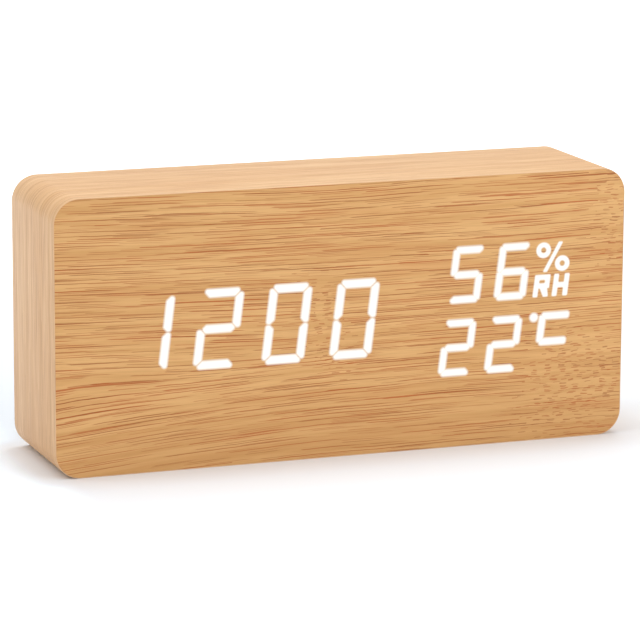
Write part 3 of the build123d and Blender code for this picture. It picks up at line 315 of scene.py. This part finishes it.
def make_face():
    """The face: satin bamboo-look veneer."""
    look = Look("face_bamboo")
    colour, height = face_grain(look)
    return look.surface(colour, face_roughness, look.bump(height, face_relief), IOR=veneer_ior)


def make_glow():
    """White light that comes through the face. The print fades out where the light is full.

    The attribute glow is 1 over the segment and falls to 0 where the light ends.
    """
    look = Look("light_through_face")
    colour, height = face_grain(look)
    glow = look.node("ShaderNodeAttribute", {"attribute_name": "glow"}, output=2)
    colour = look.mix(glow, colour, (0.03, 0.03, 0.03, 1.0))
    shine = look.mix(glow, (0.0, 0.0, 0.0, 1.0), (1.0, 0.99, 0.94, 1.0))
    return look.surface(colour, face_roughness, look.bump(height, face_relief), IOR=veneer_ior,
                        Emission_Color=shine, Emission_Strength=1.0)


def wrap_grain(look):
    """The print of the veneer round the sides: pale, with fine straight grain that runs round the block.

    s is the way round the block and y the way to the back, both in millimetres. The rim, just
    behind the front edge, is a little paler.
    """
    s, y = look.unrolled()
    sway = look.noise(s / 40.0, 2.2, y / 8.0, 1.0) - 0.5
    v = y + sway
    broad = look.noise(s / 90.0, 1.1, v / 3.0, 2.0)
    lines = look.noise(s / 30.0, 3.7, v / 0.5, 2.0, 0.6)
    fine = look.noise(s / 9.0, 6.3, v / 0.22, 2.0, 0.6)
    streaks = look.streaks(s, v, 60.0, 1.3, 0.13, 0.75, 5.0)
    streaks = streaks + look.streaks(s, v, 26.0, 0.7, 0.09, 0.7, 6.0)
    colour = look.mix(look.smooth(broad, 0.35, 0.65), paint(224, 180, 129), paint(234, 194, 146))
    colour = look.mix(0.5 * look.smooth(lines, 0.42, 0.68), colour, paint(203, 149, 100))
    colour = look.mix(0.4 * look.smooth(fine, 0.45, 0.7), colour, paint(195, 139, 96))
    colour = look.mix(0.55 * look.clamp(streaks), colour, paint(168, 108, 64))
    front = -half_depth / MM
    rim = 1.0 - look.smooth(y, front + 0.12, front + 0.3)
    return look.mix(0.4 * rim, colour, paint(247, 214, 174)), 1.0 - look.clamp(streaks)


def make_wrap():
    """The veneer round the sides."""
    look = Look("wrap_bamboo")
    colour, height = wrap_grain(look)
    return look.surface(colour, 0.48, look.bump(height, wrap_relief), IOR=veneer_ior)


def make_rear_wood():
    """The veneer ring on the rear edge of the walls."""
    look = Look("rear_bamboo")
    x, y, z = look.places()
    lines = look.noise(x / 16.0, 1.9, z / 0.7, 3.0, 0.6)
    colour = look.mix(look.smooth(lines, 0.4, 0.68), paint(236, 198, 152), paint(206, 156, 108))
    return look.surface(colour, 0.5, look.bump(1.0 - lines, wrap_relief), IOR=veneer_ior)


def make_board(name, light, dark, grain):
    """Pressed fibre or solid wood, with grains of the given length in millimetres."""
    look = Look(name)
    x, y, z = look.places()
    specks = look.noise(x / grain, y / 0.3, z / 0.3, 3.0, 0.7)
    colour = look.mix(look.smooth(specks, 0.35, 0.7), light, dark)
    return look.surface(colour, 0.85, look.bump(specks, 0.05 * MM))


def make_plastic(name, colour, grain, roughness, depth):
    """Moulded plastic with a fine spark texture: its grain and its depth are in millimetres."""
    look = Look(name)
    x, y, z = look.places()
    sparks = look.noise(x / grain, y / grain, z / grain, 2.0, 0.6)
    worn = look.noise(x / 14.0, y / 14.0, z / 14.0, 2.0)
    return look.surface(colour, look.clamp(roughness + 0.14 * (worn - 0.5)), look.bump(sparks, depth * MM))


def make_metal(name, colour, roughness):
    """Bare metal with faint brushing along X."""
    look = Look(name)
    x, y, z = look.places()
    brushed = look.noise(x / 6.0, y / 0.08, z / 0.08, 2.0)
    satin = look.clamp(roughness + 0.16 * (brushed - 0.5))
    return look.surface(colour, satin, look.bump(brushed, 0.004 * MM), Metallic=1.0)


def make_circuit_board():
    """Green lacquer over copper tracks, which lie where one of two stretched noises is near 0.5."""
    look = Look("circuit_green")
    x, y, z = look.places()
    lengthwise = look.noise(x / 9.0, 3.0, z / 1.3, 0.0)
    crosswise = look.noise(x / 1.3, 8.0, z / 9.0, 0.0)
    tracks = look.clamp(look.bell(lengthwise, 0.5, 0.03) + look.bell(crosswise, 0.5, 0.03))
    colour = look.mix(tracks, paint(26, 86, 52), paint(52, 118, 70))
    return look.surface(colour, 0.32, look.bump(tracks, 0.02 * MM), Coat_Weight=0.4)


def make_cell(name, plus_end, way):
    """A plain cell jacket: dark, with a copper-coloured band next to the plus end and bare steel ends.

    The plus end is a place along X, and way is the direction from it into the cell. All places are
    in millimetres.
    """
    look = Look(name)
    x, y, z = look.places()
    along = (x - plus_end) * way
    dark = look.smooth(along, 11.0, 11.2)
    steel = look.clamp(1.0 - look.smooth(along, 1.2, 1.3) + look.smooth(along, 44.0, 44.1))
    jacket = look.mix(dark, paint(196, 132, 62), paint(44, 46, 50))
    colour = look.mix(steel, jacket, paint(190, 190, 188))
    metal = look.clamp(steel + 0.5 * (1.0 - dark))
    return look.surface(colour, 0.28, Metallic=metal, Coat_Weight=0.3)


def make_ribbon():
    """Grey flat cable with a groove between its wires. Its colour holds painted shade in the grooves and a
    painted highlight on the wires.
    """
    look = Look("ribbon_grey")
    x, y, z = look.places()
    wire_pitch = 1.0
    wires = look.math("SINE", x * (2 * pi / wire_pitch))
    # Painted shade and highlight: the same sine that makes the relief darkens the colour in the grooves and
    # lightens it on the wires.
    colour = look.mix(look.smooth(wires, -1.0, 1.0), paint(140, 140, 142), paint(176, 176, 178))
    return look.surface(colour, 0.45, look.bump(wires, 0.1 * MM))


def make_light(name, colour, glow):
    """A diffuser, lit or unlit."""
    look = Look(name)
    x, y, z = look.places()
    milk = look.noise(x / 0.8, y / 0.8, z / 0.8, 2.0)
    cloudy = look.mix(milk, colour, paint(250, 250, 248))
    return look.surface(cloudy, 0.4, Emission_Color=glow, Emission_Strength=1.0)


looks = {
    "wrap_veneer": make_wrap(),
    "face_veneer": make_face(),
    "rear_veneer": make_rear_wood(),
    "fibreboard": make_board("fibreboard", paint(186, 150, 108), paint(132, 98, 62), 0.6),
    "pine": make_board("pine", paint(226, 192, 140), paint(196, 152, 98), 6.0),
    "black_film": make_plastic("black_film", paint(22, 22, 24), 0.6, 0.35, 0.005),
    "white_plastic": make_plastic("white_plastic", paint(236, 236, 232), 0.3, 0.45, 0.01),
    "lit_diffuser": make_light("lit_diffuser", paint(240, 238, 230), (1.0, 0.96, 0.86, 1.0)),
    "dark_diffuser": make_light("dark_diffuser", paint(206, 204, 198), (0.0, 0.0, 0.0, 1.0)),
    "led_body": make_light("led_body", paint(236, 220, 120), (0.3, 0.28, 0.2, 1.0)),
    "circuit_board": make_circuit_board(),
    "chip_black": make_plastic("chip_black", paint(30, 30, 32), 0.12, 0.55, 0.012),
    "ribbon_grey": make_ribbon(),
    "black_plastic": make_plastic("black_plastic", paint(30, 30, 31), 0.3, 0.5, 0.03),
    "button_plastic": make_plastic("button_plastic", paint(36, 36, 38), 0.4, 0.34, 0.008),
    "screw_steel": make_metal("screw_steel", paint(176, 176, 174), 0.3),
    "black_screws": make_metal("black_screws", paint(58, 58, 60), 0.36),
    "contact_steel": make_metal("contact_steel", paint(198, 198, 196), 0.24),
    "crystal_can": make_metal("crystal_can", paint(188, 190, 194), 0.2),
    "red_wire": make_plastic("red_wire", paint(176, 30, 26), 0.5, 0.35, 0.004),
    "black_wire": make_plastic("black_wire", paint(24, 24, 26), 0.5, 0.35, 0.004),
}
cell_looks = {}
for place, plus_side, way in (("lower", 0, 1.0), ("middle", 1, -1.0), ("upper", 0, 1.0)):
    plus_end = box_of["cell_" + place][plus_side].x / MM
    cell_looks["cell_" + place] = make_cell("cell_jacket_" + place, plus_end, way)
glow_look = make_glow()
mark_look = make_plastic("mark_print", paint(196, 196, 194), 0.3, 0.6, 0.004)


# Shapes
def piece(name, places, faces, material, body):
    """A mesh from places and faces that rides on a CAD body."""
    mesh = bpy.data.meshes.new(name)
    mesh.from_pydata([tuple(map(float, p)) for p in places], [], [tuple(map(int, f)) for f in faces])
    mesh.polygons.foreach_set("use_smooth", [True] * len(mesh.polygons))
    mesh.set_sharp_from_angle(angle=sharp_from)
    mesh.materials.append(material)
    made = bpy.data.objects.new(name, mesh)
    bpy.context.scene.collection.objects.link(made)
    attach(made, body)
    return made


def rounded_outline(inset, steps=20):
    """Places (x, z) and outward directions round the block's outline, moved inwards by the inset.

    p = c + (r - inset) (cos t, sin t) over each corner's quarter turn, with c the corner's centre.
    The outline starts at the middle of the underside and runs to the right.
    """
    reach = corner_radius - inset
    points, outwards = [(0.0, -half_height + inset)], [(0.0, -1.0)]
    for turn, (cx, cz) in enumerate(((1, -1), (1, 1), (-1, 1), (-1, -1))):
        centre = (cx * (half_width - corner_radius), cz * (half_height - corner_radius))
        for i in range(steps + 1):
            t = -pi / 2 + turn * pi / 2 + i / steps * pi / 2
            outwards.append((cos(t), sin(t)))
            points.append((centre[0] + reach * cos(t), centre[1] + reach * sin(t)))
    points, outwards = np.array(points), np.array(outwards)
    points[:, 1] += half_height
    return points, outwards


def make_wrap_piece():
    """The veneer round the block: a thin strip's cross-section, swept round the outline.

    The strip's edges are rounded by a radius b: n = -b + b sin a and y = front + b - b cos a for a
    from 0 to 90 degrees, with n measured outwards, and the same from the rear. At the front the
    strip thins to a lip, and the face lies in the step behind it. The UV map holds the way round
    the block and y, in millimetres.
    """
    b = wrap_edge
    step_y = -half_depth + face_thickness + face_room
    turns = [i / 5 * pi / 2 for i in range(6)]
    strip = [(-wrap_thickness, step_y), (-lip_thickness, step_y), (-lip_thickness, -half_depth)]
    strip += [(-b + b * sin(a), -half_depth + b - b * cos(a)) for a in turns]
    strip += [(-b + b * cos(a), half_depth - b + b * sin(a)) for a in turns]
    strip += [(-wrap_thickness, half_depth)]
    outline, outwards = rounded_outline(0.0)
    rows, columns = len(strip), len(outline)
    places = [(p[0] + n * o[0], y, p[1] + n * o[1]) for n, y in strip for p, o in zip(outline, outwards)]
    steps = np.linalg.norm(np.diff(np.vstack([outline, outline[:1]]), axis=0), axis=1)
    way = np.concatenate([[0.0], np.cumsum(steps)]) / MM
    across = [y / MM for n, y in strip]
    faces, flat = [], []
    for r in range(rows):
        below = (r + 1) % rows
        for c in range(columns):
            beside = (c + 1) % columns
            corners = ((r, c), (r, beside), (below, beside), (below, c))
            faces.append(tuple(i * columns + j for i, j in corners))
            flat += [way[c], across[r], way[c + 1], across[r]]
            flat += [way[c + 1], across[below], way[c], across[below]]
    made = piece("veneer_wrap", places, faces, looks["wrap_veneer"], "case")
    unrolled = made.data.uv_layers.new(name="unrolled")
    unrolled.data.foreach_set("uv", flat)
    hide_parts("side_wrap")


def make_face_piece():
    """The face: a thin sheet inside the wrap's lip.

    Its front edge is rounded by a radius b: inset = b - b cos a, y = front + b - b sin a.
    """
    b = face_edge
    front = -half_depth + face_setback
    back = -half_depth + face_thickness
    turns = [i / 4 * pi / 2 for i in range(5)]
    rings = [(0.0, back)] + [(b - b * cos(a), front + b - b * sin(a)) for a in turns]
    places, faces = [], []
    for inset, y in rings:
        outline, outwards = rounded_outline(lip_thickness + inset)
        places += [(p[0], y, p[1]) for p in outline]
    count = len(outline)
    for r in range(len(rings) - 1):
        for c in range(count):
            d = (c + 1) % count
            faces.append((r * count + d, r * count + c, (r + 1) * count + c, (r + 1) * count + d))
    faces.append(tuple(reversed(range(count))))
    faces.append(tuple((len(rings) - 1) * count + c for c in range(count)))
    made = piece("bamboo_face", places, [f[::-1] for f in faces], looks["face_veneer"], "case")
    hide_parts("face_veneer")


def front_triangles(node):
    """The places (x, z) and the triangles of a CAD node's front faces, all turned anticlockwise."""
    mesh = nodes[node].data
    at = np.empty(len(mesh.vertices) * 3)
    mesh.vertices.foreach_get("co", at)
    at = at.reshape(-1, 3)
    mesh.calc_loop_triangles()
    corners = np.empty(len(mesh.loop_triangles) * 3, int)
    mesh.loop_triangles.foreach_get("vertices", corners)
    corners = corners.reshape(-1, 3)
    corners = corners[(at[corners, 1] < at[:, 1].min() + flat_within).all(axis=1)]
    places, index = np.unique(np.round(at[:, [0, 2]], 7), axis=0, return_inverse=True)
    corners = index.ravel()[corners]
    p, q, r = (places[corners[:, i]] for i in range(3))
    area = (q[:, 0] - p[:, 0]) * (r[:, 1] - p[:, 1]) - (q[:, 1] - p[:, 1]) * (r[:, 0] - p[:, 0])
    corners[area < 0] = corners[area < 0][:, ::-1]
    return places, corners[np.abs(area) > least_area]


def islands(corners):
    """Splits triangles into the groups that touch one another."""
    group = {}

    def root(i):
        while group.setdefault(i, i) != i:
            i = group[i]
        return i

    for a, b, c in corners:
        group[root(a)] = root(b)
        group[root(b)] = root(c)
    roots = np.array([root(t[0]) for t in corners])
    return [corners[roots == r] for r in sorted(set(roots))]


def segment_letter(centre, middle, reach):
    """The letter a to g of a segment from its centre, with the digit's lean taken off.

    The middle and the reach, half the width and half the height, are the whole digit's. Within a
    quarter of the reach from the digit's middle line lie a, g and d.
    """
    x = centre[0] - middle[0] - (centre[1] - middle[1]) * tan(lean)
    z = centre[1] - middle[1]
    if abs(x) < reach[0] * 0.25:
        return "a" if z > reach[1] * 0.5 else "d" if z < -reach[1] * 0.5 else "g"
    return ("b" if z > 0 else "c") if x > 0 else ("f" if z > 0 else "e")


def border_lines(shape, at):
    """The closed border lines of a group of triangles: the outer one runs anticlockwise, holes clockwise."""
    edges = {(int(a), int(b)) for t in shape for a, b in ((t[0], t[1]), (t[1], t[2]), (t[2], t[0]))}
    after = {a: b for a, b in edges if (b, a) not in edges}
    lines = []
    while after:
        line = [min(after)]
        while line[-1] in after:
            line.append(after.pop(line[-1]))
        lines.append(at[line[:-1]])
    return lines


def swept_area(line):
    """The area inside a closed line, above 0 when it runs anticlockwise."""
    onward = np.roll(line, -1, axis=0)
    return (line[:, 0] * onward[:, 1] - onward[:, 0] * line[:, 1]).sum() / 2


def rounded_line(line, radius, steps=6):
    """A closed line with each corner p turned into a curve: (1-u)^2 a + 2 u (1-u) p + u^2 b, u from 0 to 1.

    a and b lie on the two edges at p, at radius / tan(half the corner's angle), or just under half the
    edge where that is shorter.
    """
    inward, onward = np.roll(line, 1, axis=0) - line, np.roll(line, -1, axis=0) - line
    before, after = (np.linalg.norm(e, axis=1, keepdims=True) for e in (inward, onward))
    inward, onward = inward / before, onward / after
    turn = np.arccos(np.clip((inward * onward).sum(axis=1, keepdims=True), -1.0, 1.0))
    reach = np.minimum(radius / np.tan(np.maximum(turn, 0.01) / 2), 0.48 * np.minimum(before, after))
    u = (np.arange(steps) / (steps - 1))[None, :, None]
    a, p, b = (line + inward * reach)[:, None], line[:, None], (line + onward * reach)[:, None]
    return ((1 - u) ** 2 * a + 2 * u * (1 - u) * p + u ** 2 * b).reshape(-1, 2)


def rolled_line(line, radius, steps=7):
    """A convex closed line, anticlockwise, rounded to where a disc of a radius r reaches inside it.

    The line is cut to the places at least r inside each of its edges. Each corner c of what is left
    gives the places c + r (cos t, sin t), with t from one edge's outward direction to the next one's.
    """
    core = line
    for p, q in zip(line, np.roll(line, -1, axis=0)):
        along = (q - p) / np.linalg.norm(q - p)
        depth = (core - p) @ np.array((-along[1], along[0])) - radius
        kept = []
        for i in range(len(core)):
            if (depth[i - 1] > 0) != (depth[i] > 0):
                kept.append(core[i - 1] + (core[i] - core[i - 1]) * depth[i - 1] / (depth[i - 1] - depth[i]))
            if depth[i] > 0:
                kept.append(core[i])
        core = np.array(kept)
    core = core[np.linalg.norm(core - np.roll(core, 1, axis=0), axis=1) > least_step]
    edges = np.roll(core, -1, axis=0) - core
    outward = np.arctan2(-edges[:, 0], edges[:, 1])
    before = np.roll(outward, 1)
    turn = (outward - before) % (2 * pi)
    t = before[:, None] + turn[:, None] * np.arange(steps) / (steps - 1)
    return (core[:, None] + radius * np.stack([np.cos(t), np.sin(t)], axis=2)).reshape(-1, 2)


def is_convex(line):
    """Whether a closed line, anticlockwise, turns left at every corner."""
    before, after = line - np.roll(line, 1, axis=0), np.roll(line, -1, axis=0) - line
    return (before[:, 0] * after[:, 1] - before[:, 1] * after[:, 0]).min() > 0


def longer_line(line, stretch):
    """A closed line made longer at both ends: q = p + s stretch a, with s 1 or -1 by the end that p is at.

    a is the line's long direction, along X or up with the digits' lean. A line that is nearly as wide
    as it is long stays as it is.
    """
    low, high = line.min(axis=0), line.max(axis=0)
    wide, tall = high - low
    if max(wide, tall) < least_slimness * min(wide, tall):
        return line
    sides = np.sign(line - (low + high) / 2)
    if wide > tall:
        return line + stretch * sides[:, :1] * np.array((1.0, 0.0))
    return line + stretch * sides[:, 1:] * np.array((tan(lean), 1.0))


def moved_line(line, distance):
    """A closed line moved outwards: q = p + distance n, with n square to the line at p."""
    along = np.roll(line, -1, axis=0) - np.roll(line, 1, axis=0)
    outwards = np.stack([along[:, 1], -along[:, 0]], axis=1)
    return line + distance * outwards / np.linalg.norm(outwards, axis=1, keepdims=True)


def fill(lines):
    """Triangles that fill flat closed lines, anticlockwise, as numbers into all their places."""
    flat = np.vstack(lines)
    found = tessellate_polygon([[Vector((x, z, 0.0)) for x, z in line] for line in lines])
    return [t if swept_area(flat[list(t)]) > 0 else t[::-1] for t in found]


def walls(lines, near, far):
    """Faces between two copies of flat closed lines, whose places start at the numbers near and far."""
    faces, start = [], 0
    for line in lines:
        here = start + np.arange(len(line))
        there = np.roll(here, -1)
        faces += np.stack([there + near, here + near, here + far, there + far], axis=1).tolist()
        start += len(line)
    return faces


def make_glow_piece(name, node, radius, inset, spread, stretch, letters):
    """The lit shapes of one digit or unit on the face. Letters names a digit's lit segments.

    Each shape is the front of its diffuser with rounded corners, longer at its ends by a stretch, as
    the light runs into the gaps. The light is full inside an inset and fades over a spread outside,
    where the shape's front slopes back. In a hole the spread is at most 0.4 of the hole's radius,
    and a hole smaller than the least one is filled by the light.
    """
    front, ring_y, back = -half_depth, -half_depth + glow_slope, -half_depth + glow_thickness
    at, corners = front_triangles(node)
    low, high = at[corners.ravel()].min(axis=0), at[corners.ravel()].max(axis=0)
    middle, reach = (low + high) / 2, (high - low) / 2
    places, faces, glow = [], [], []
    for shape in islands(corners):
        used = sorted(set(shape.ravel()))
        centre = (at[used].min(axis=0) + at[used].max(axis=0)) / 2
        if letters is not None and segment_letter(centre, middle, reach) not in letters:
            continue
        lines = [longer_line(line, stretch) for line in border_lines(shape, at)
                 if swept_area(line) > 0 or swept_area(line) < -least_hole]
        rounded = rolled_line if stretch > 0 and len(lines) == 1 and is_convex(lines[0]) else rounded_line
        lines = [rounded(line, radius) for line in lines]
        cores = [moved_line(line, -inset) for line in lines]
        spreads = [spread if swept_area(line) > 0 else min(spread, 0.4 * (-swept_area(line) / pi) ** 0.5)
                   for line in lines]
        rings = [moved_line(line, reach_out) for line, reach_out in zip(lines, spreads)]
        core, ring = np.vstack(cores), np.vstack(rings)
        count, first = len(core), len(places)
        for flat, y in ((core, front), (ring, ring_y), (core, back), (ring, back)):
            places += [(x, y, z) for x, z in flat]
        glow += ([1.0] * count + [0.0] * count) * 2
        for a, b, c in fill(cores):
            faces += [(first + a, first + b, first + c), tuple(first + 2 * count + i for i in (c, b, a))]
        for near, far in ((0, 1), (1, 3), (3, 2)):
            faces += walls(cores, first + near * count, first + far * count)
    made = piece(name, places, faces, glow_look, "case")
    attribute = made.data.attributes.new("glow", "FLOAT", "POINT")
    attribute.data.foreach_set("value", glow)


def regular_line(centre, radius, sides, first_turn):
    """A regular polygon round a centre, anticlockwise: p = centre + radius (cos t, sin t)."""
    t = first_turn + np.arange(sides) / sides * 2 * pi
    return np.stack([centre[0] + radius * np.cos(t), centre[1] + radius * np.sin(t)], axis=1)


def make_raised_mark(name, lines):
    """A mark printed on the rear cover: its outline, with any hole, drawn out backwards."""
    flat = np.vstack(lines)
    count = len(flat)
    places = [(x, y, z) for y in (cover_y, cover_y + mark_height) for x, z in flat]
    faces = walls(lines, 0, count)
    for a, b, c in fill(lines):
        faces += [(a, b, c), (c + count, b + count, a + count)]
    piece(name, places, faces, mark_look, "case")


def make_raised_word(name, word, centre, size):
    """A word printed on the rear cover, read from behind: letter (u, v, w) goes to (x - u, y + w, z + v)."""
    curve = bpy.data.curves.new(name, "FONT")
    curve.body = word
    curve.size = size
    curve.align_x, curve.align_y = "CENTER", "CENTER"
    curve.extrude = mark_height / 2
    flat = bpy.data.objects.new(name + "_letters", curve)
    bpy.context.scene.collection.objects.link(flat)
    bpy.context.view_layer.update()
    mesh = bpy.data.meshes.new_from_object(flat.evaluated_get(bpy.context.evaluated_depsgraph_get()))
    bpy.data.objects.remove(flat)
    mesh.transform(Matrix((
        (-1, 0, 0, centre[0]),
        (0, 0, 1, cover_y + mark_height / 2),
        (0, 1, 0, centre[1]),
        (0, 0, 0, 1))))
    shape = bmesh.new()
    shape.from_mesh(mesh)
    bmesh.ops.remove_doubles(shape, verts=shape.verts, dist=merge_within)
    bmesh.ops.recalc_face_normals(shape, faces=shape.faces)
    shape.to_mesh(mesh)
    shape.free()
    mesh.name = name
    mesh.materials.clear()
    mesh.materials.append(mark_look)
    made = bpy.data.objects.new(name, mesh)
    bpy.context.scene.collection.objects.link(made)
    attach(made, "case")


def make_control_marks():
    """Plain marks at the controls on the back: a ring for setting, arrowheads up and down, ON and OFF."""
    set_x, up_x, down_x = ((box_of[name][0].x + box_of[name][1].x) / 2
                           for name in ("set_button", "up_button", "down_button"))
    mark_z = box_of["set_button"][1].z + mark_gap
    ring = [regular_line((set_x, mark_z), mark_radius, 40, 0.0),
            regular_line((set_x, mark_z), mark_hole, 40, 0.0)[::-1]]
    make_raised_mark("set_mark", ring)
    make_raised_mark("up_mark", [regular_line((up_x, mark_z), arrow_radius, 3, pi / 2)])
    make_raised_mark("down_mark", [regular_line((down_x, mark_z), arrow_radius, 3, -pi / 2)])
    low, high = box_of["sound_switch_body"]
    knob_z = (box_of["sound_switch_knob"][0].z + box_of["sound_switch_knob"][1].z) / 2
    make_raised_word("on_mark", "ON", (high.x + mark_gap, knob_z), letter_size)
    make_raised_word("off_mark", "OFF", (low.x - mark_gap, knob_z), letter_size)


# The object
for name, obj in nodes.items():
    for slot in obj.material_slots:
        if name == "rear_veneer":
            slot.material = looks["rear_veneer"]
        elif name in cell_looks:
            slot.material = cell_looks[name]
        else:
            slot.material = looks[slot.material.name.split(".")[0]]

make_wrap_piece()
make_face_piece()

lit = {
    "hour_tens_segments": "bc", "hour_ones_segments": "abged",
    "minute_tens_segments": "abcdef", "minute_ones_segments": "abcdef",
    "humidity_tens_segments": "afgcd", "humidity_ones_segments": "afgecd",
    "temperature_tens_segments": "abged", "temperature_ones_segments": "abged",
    "humidity_unit": None, "temperature_unit": None,
}
for node, letters in lit.items():
    light = large_glow if node.startswith(("hour", "minute")) else small_glow
    if node == "humidity_unit":
        light = letter_glow
    make_glow_piece(node.replace("_segments", "") + "_light", node, *light, letters)
make_control_marks()


# Camera, floor and light
def make_camera():
    """The camera at the photograph's viewing angle: its right, up and backward directions and its place."""
    camera = bpy.data.objects.new("camera", bpy.data.cameras.new("camera"))
    bpy.context.scene.collection.objects.link(camera)
    camera.data.lens = 206.99
    camera.data.sensor_width = 36.0
    camera.data.clip_start, camera.data.clip_end = 0.05, 20.0
    right = (0.938452, -0.345380, 0.004461, 0.0)
    up = (0.066862, 0.194313, 0.978658, 0.0)
    backward = (-0.338876, -0.918126, 0.205446, 0.0)
    place = (-0.314606, -0.852058, 0.221649, 1.0)
    camera.matrix_world = Matrix((right, up, backward, place)).transposed()
    bpy.context.scene.camera = camera


def make_floor():
    """A pale floor. Where it is seen it also shines a little, so that it turns white past the shadow.

    The shine grows with the gap to the block, with the distance from the middle and on the left.
    Close to the block it is bluish, against the warm light that the block throws back.
    """
    look = Look("floor_white")
    x, y, z = look.places()
    distance = (x * x + y * y) ** 0.5
    beside = look.math("MAXIMUM", look.away(x, 0.0) - half_width / MM, 0.0)
    before = look.math("MAXIMUM", look.away(y, 0.0) - half_depth / MM, 0.0)
    gap = (beside * beside + before * before) ** 0.5
    near = 0.1 * look.smooth(gap, 1.0, 18.0)
    left = 0.22 * look.smooth(-1.0 * x, 70.0, 80.0) * look.smooth(gap, 0.5, 9.0)
    far = look.smooth(distance, 90.0, 400.0)
    diffuse = look.node("ShaderNodeBsdfDiffuse", inputs={"Color": (0.87, 0.885, 0.91, 1.0)})
    whiter = look.seen() * (near + left + 0.4 * far)
    tint = look.mix(look.smooth(far, 0.0, 0.2), (0.55, 0.8, 1.0, 1.0), (1.0, 1.0, 1.0, 1.0))
    shine = look.node("ShaderNodeEmission", inputs={"Color": tint, "Strength": whiter})
    both = look.node("ShaderNodeAddShader", inputs={0: diffuse, 1: shine})
    look.node("ShaderNodeOutputMaterial", inputs={"Surface": both}, output=None)
    mesh = bpy.data.meshes.new("floor")
    reach = 6.0
    places = [(-reach, -reach, 0.0), (reach, -reach, 0.0), (reach, reach, 0.0), (-reach, reach, 0.0)]
    mesh.from_pydata(places, [], [(0, 1, 2, 3)])
    mesh.materials.append(look.owner)
    floor = bpy.data.objects.new("floor", mesh)
    bpy.context.scene.collection.objects.link(floor)


def make_world(strength):
    """Even white light from all round. To the camera, in mirrors and through glass it is plain white."""
    look = Look("studio", bpy.data.worlds)
    bpy.context.scene.world = look.owner
    level = strength + (1.0 - strength) * look.seen()
    light = look.node("ShaderNodeBackground", inputs={"Strength": level})
    look.node("ShaderNodeOutputWorld", inputs={"Surface": light}, output=None)


def make_lamp(name, place, size, power):
    """A soft white square lamp that points at the clock."""
    data = bpy.data.lights.new(name, "AREA")
    data.size, data.energy = size, power
    lamp = bpy.data.objects.new(name, data)
    bpy.context.scene.collection.objects.link(lamp)
    clock_middle = Vector((0.0, 0.0, 0.035))
    lamp.location = place
    lamp.rotation_mode = "QUATERNION"
    lamp.rotation_quaternion = (clock_middle - Vector(place)).to_track_quat("-Z", "Y")


bpy.context.scene.view_settings.view_transform = "Standard"
make_camera()
make_floor()
make_world(0.61)
make_lamp("lamp_above", (0.15, 0.32, 1.25), 1.0, 7.4)
make_lamp("lamp_right", (0.42, -0.6, 0.42), 0.6, 2.3)
make_lamp("lamp_left", (-0.8, -0.05, 1.05), 0.9, 4.8)
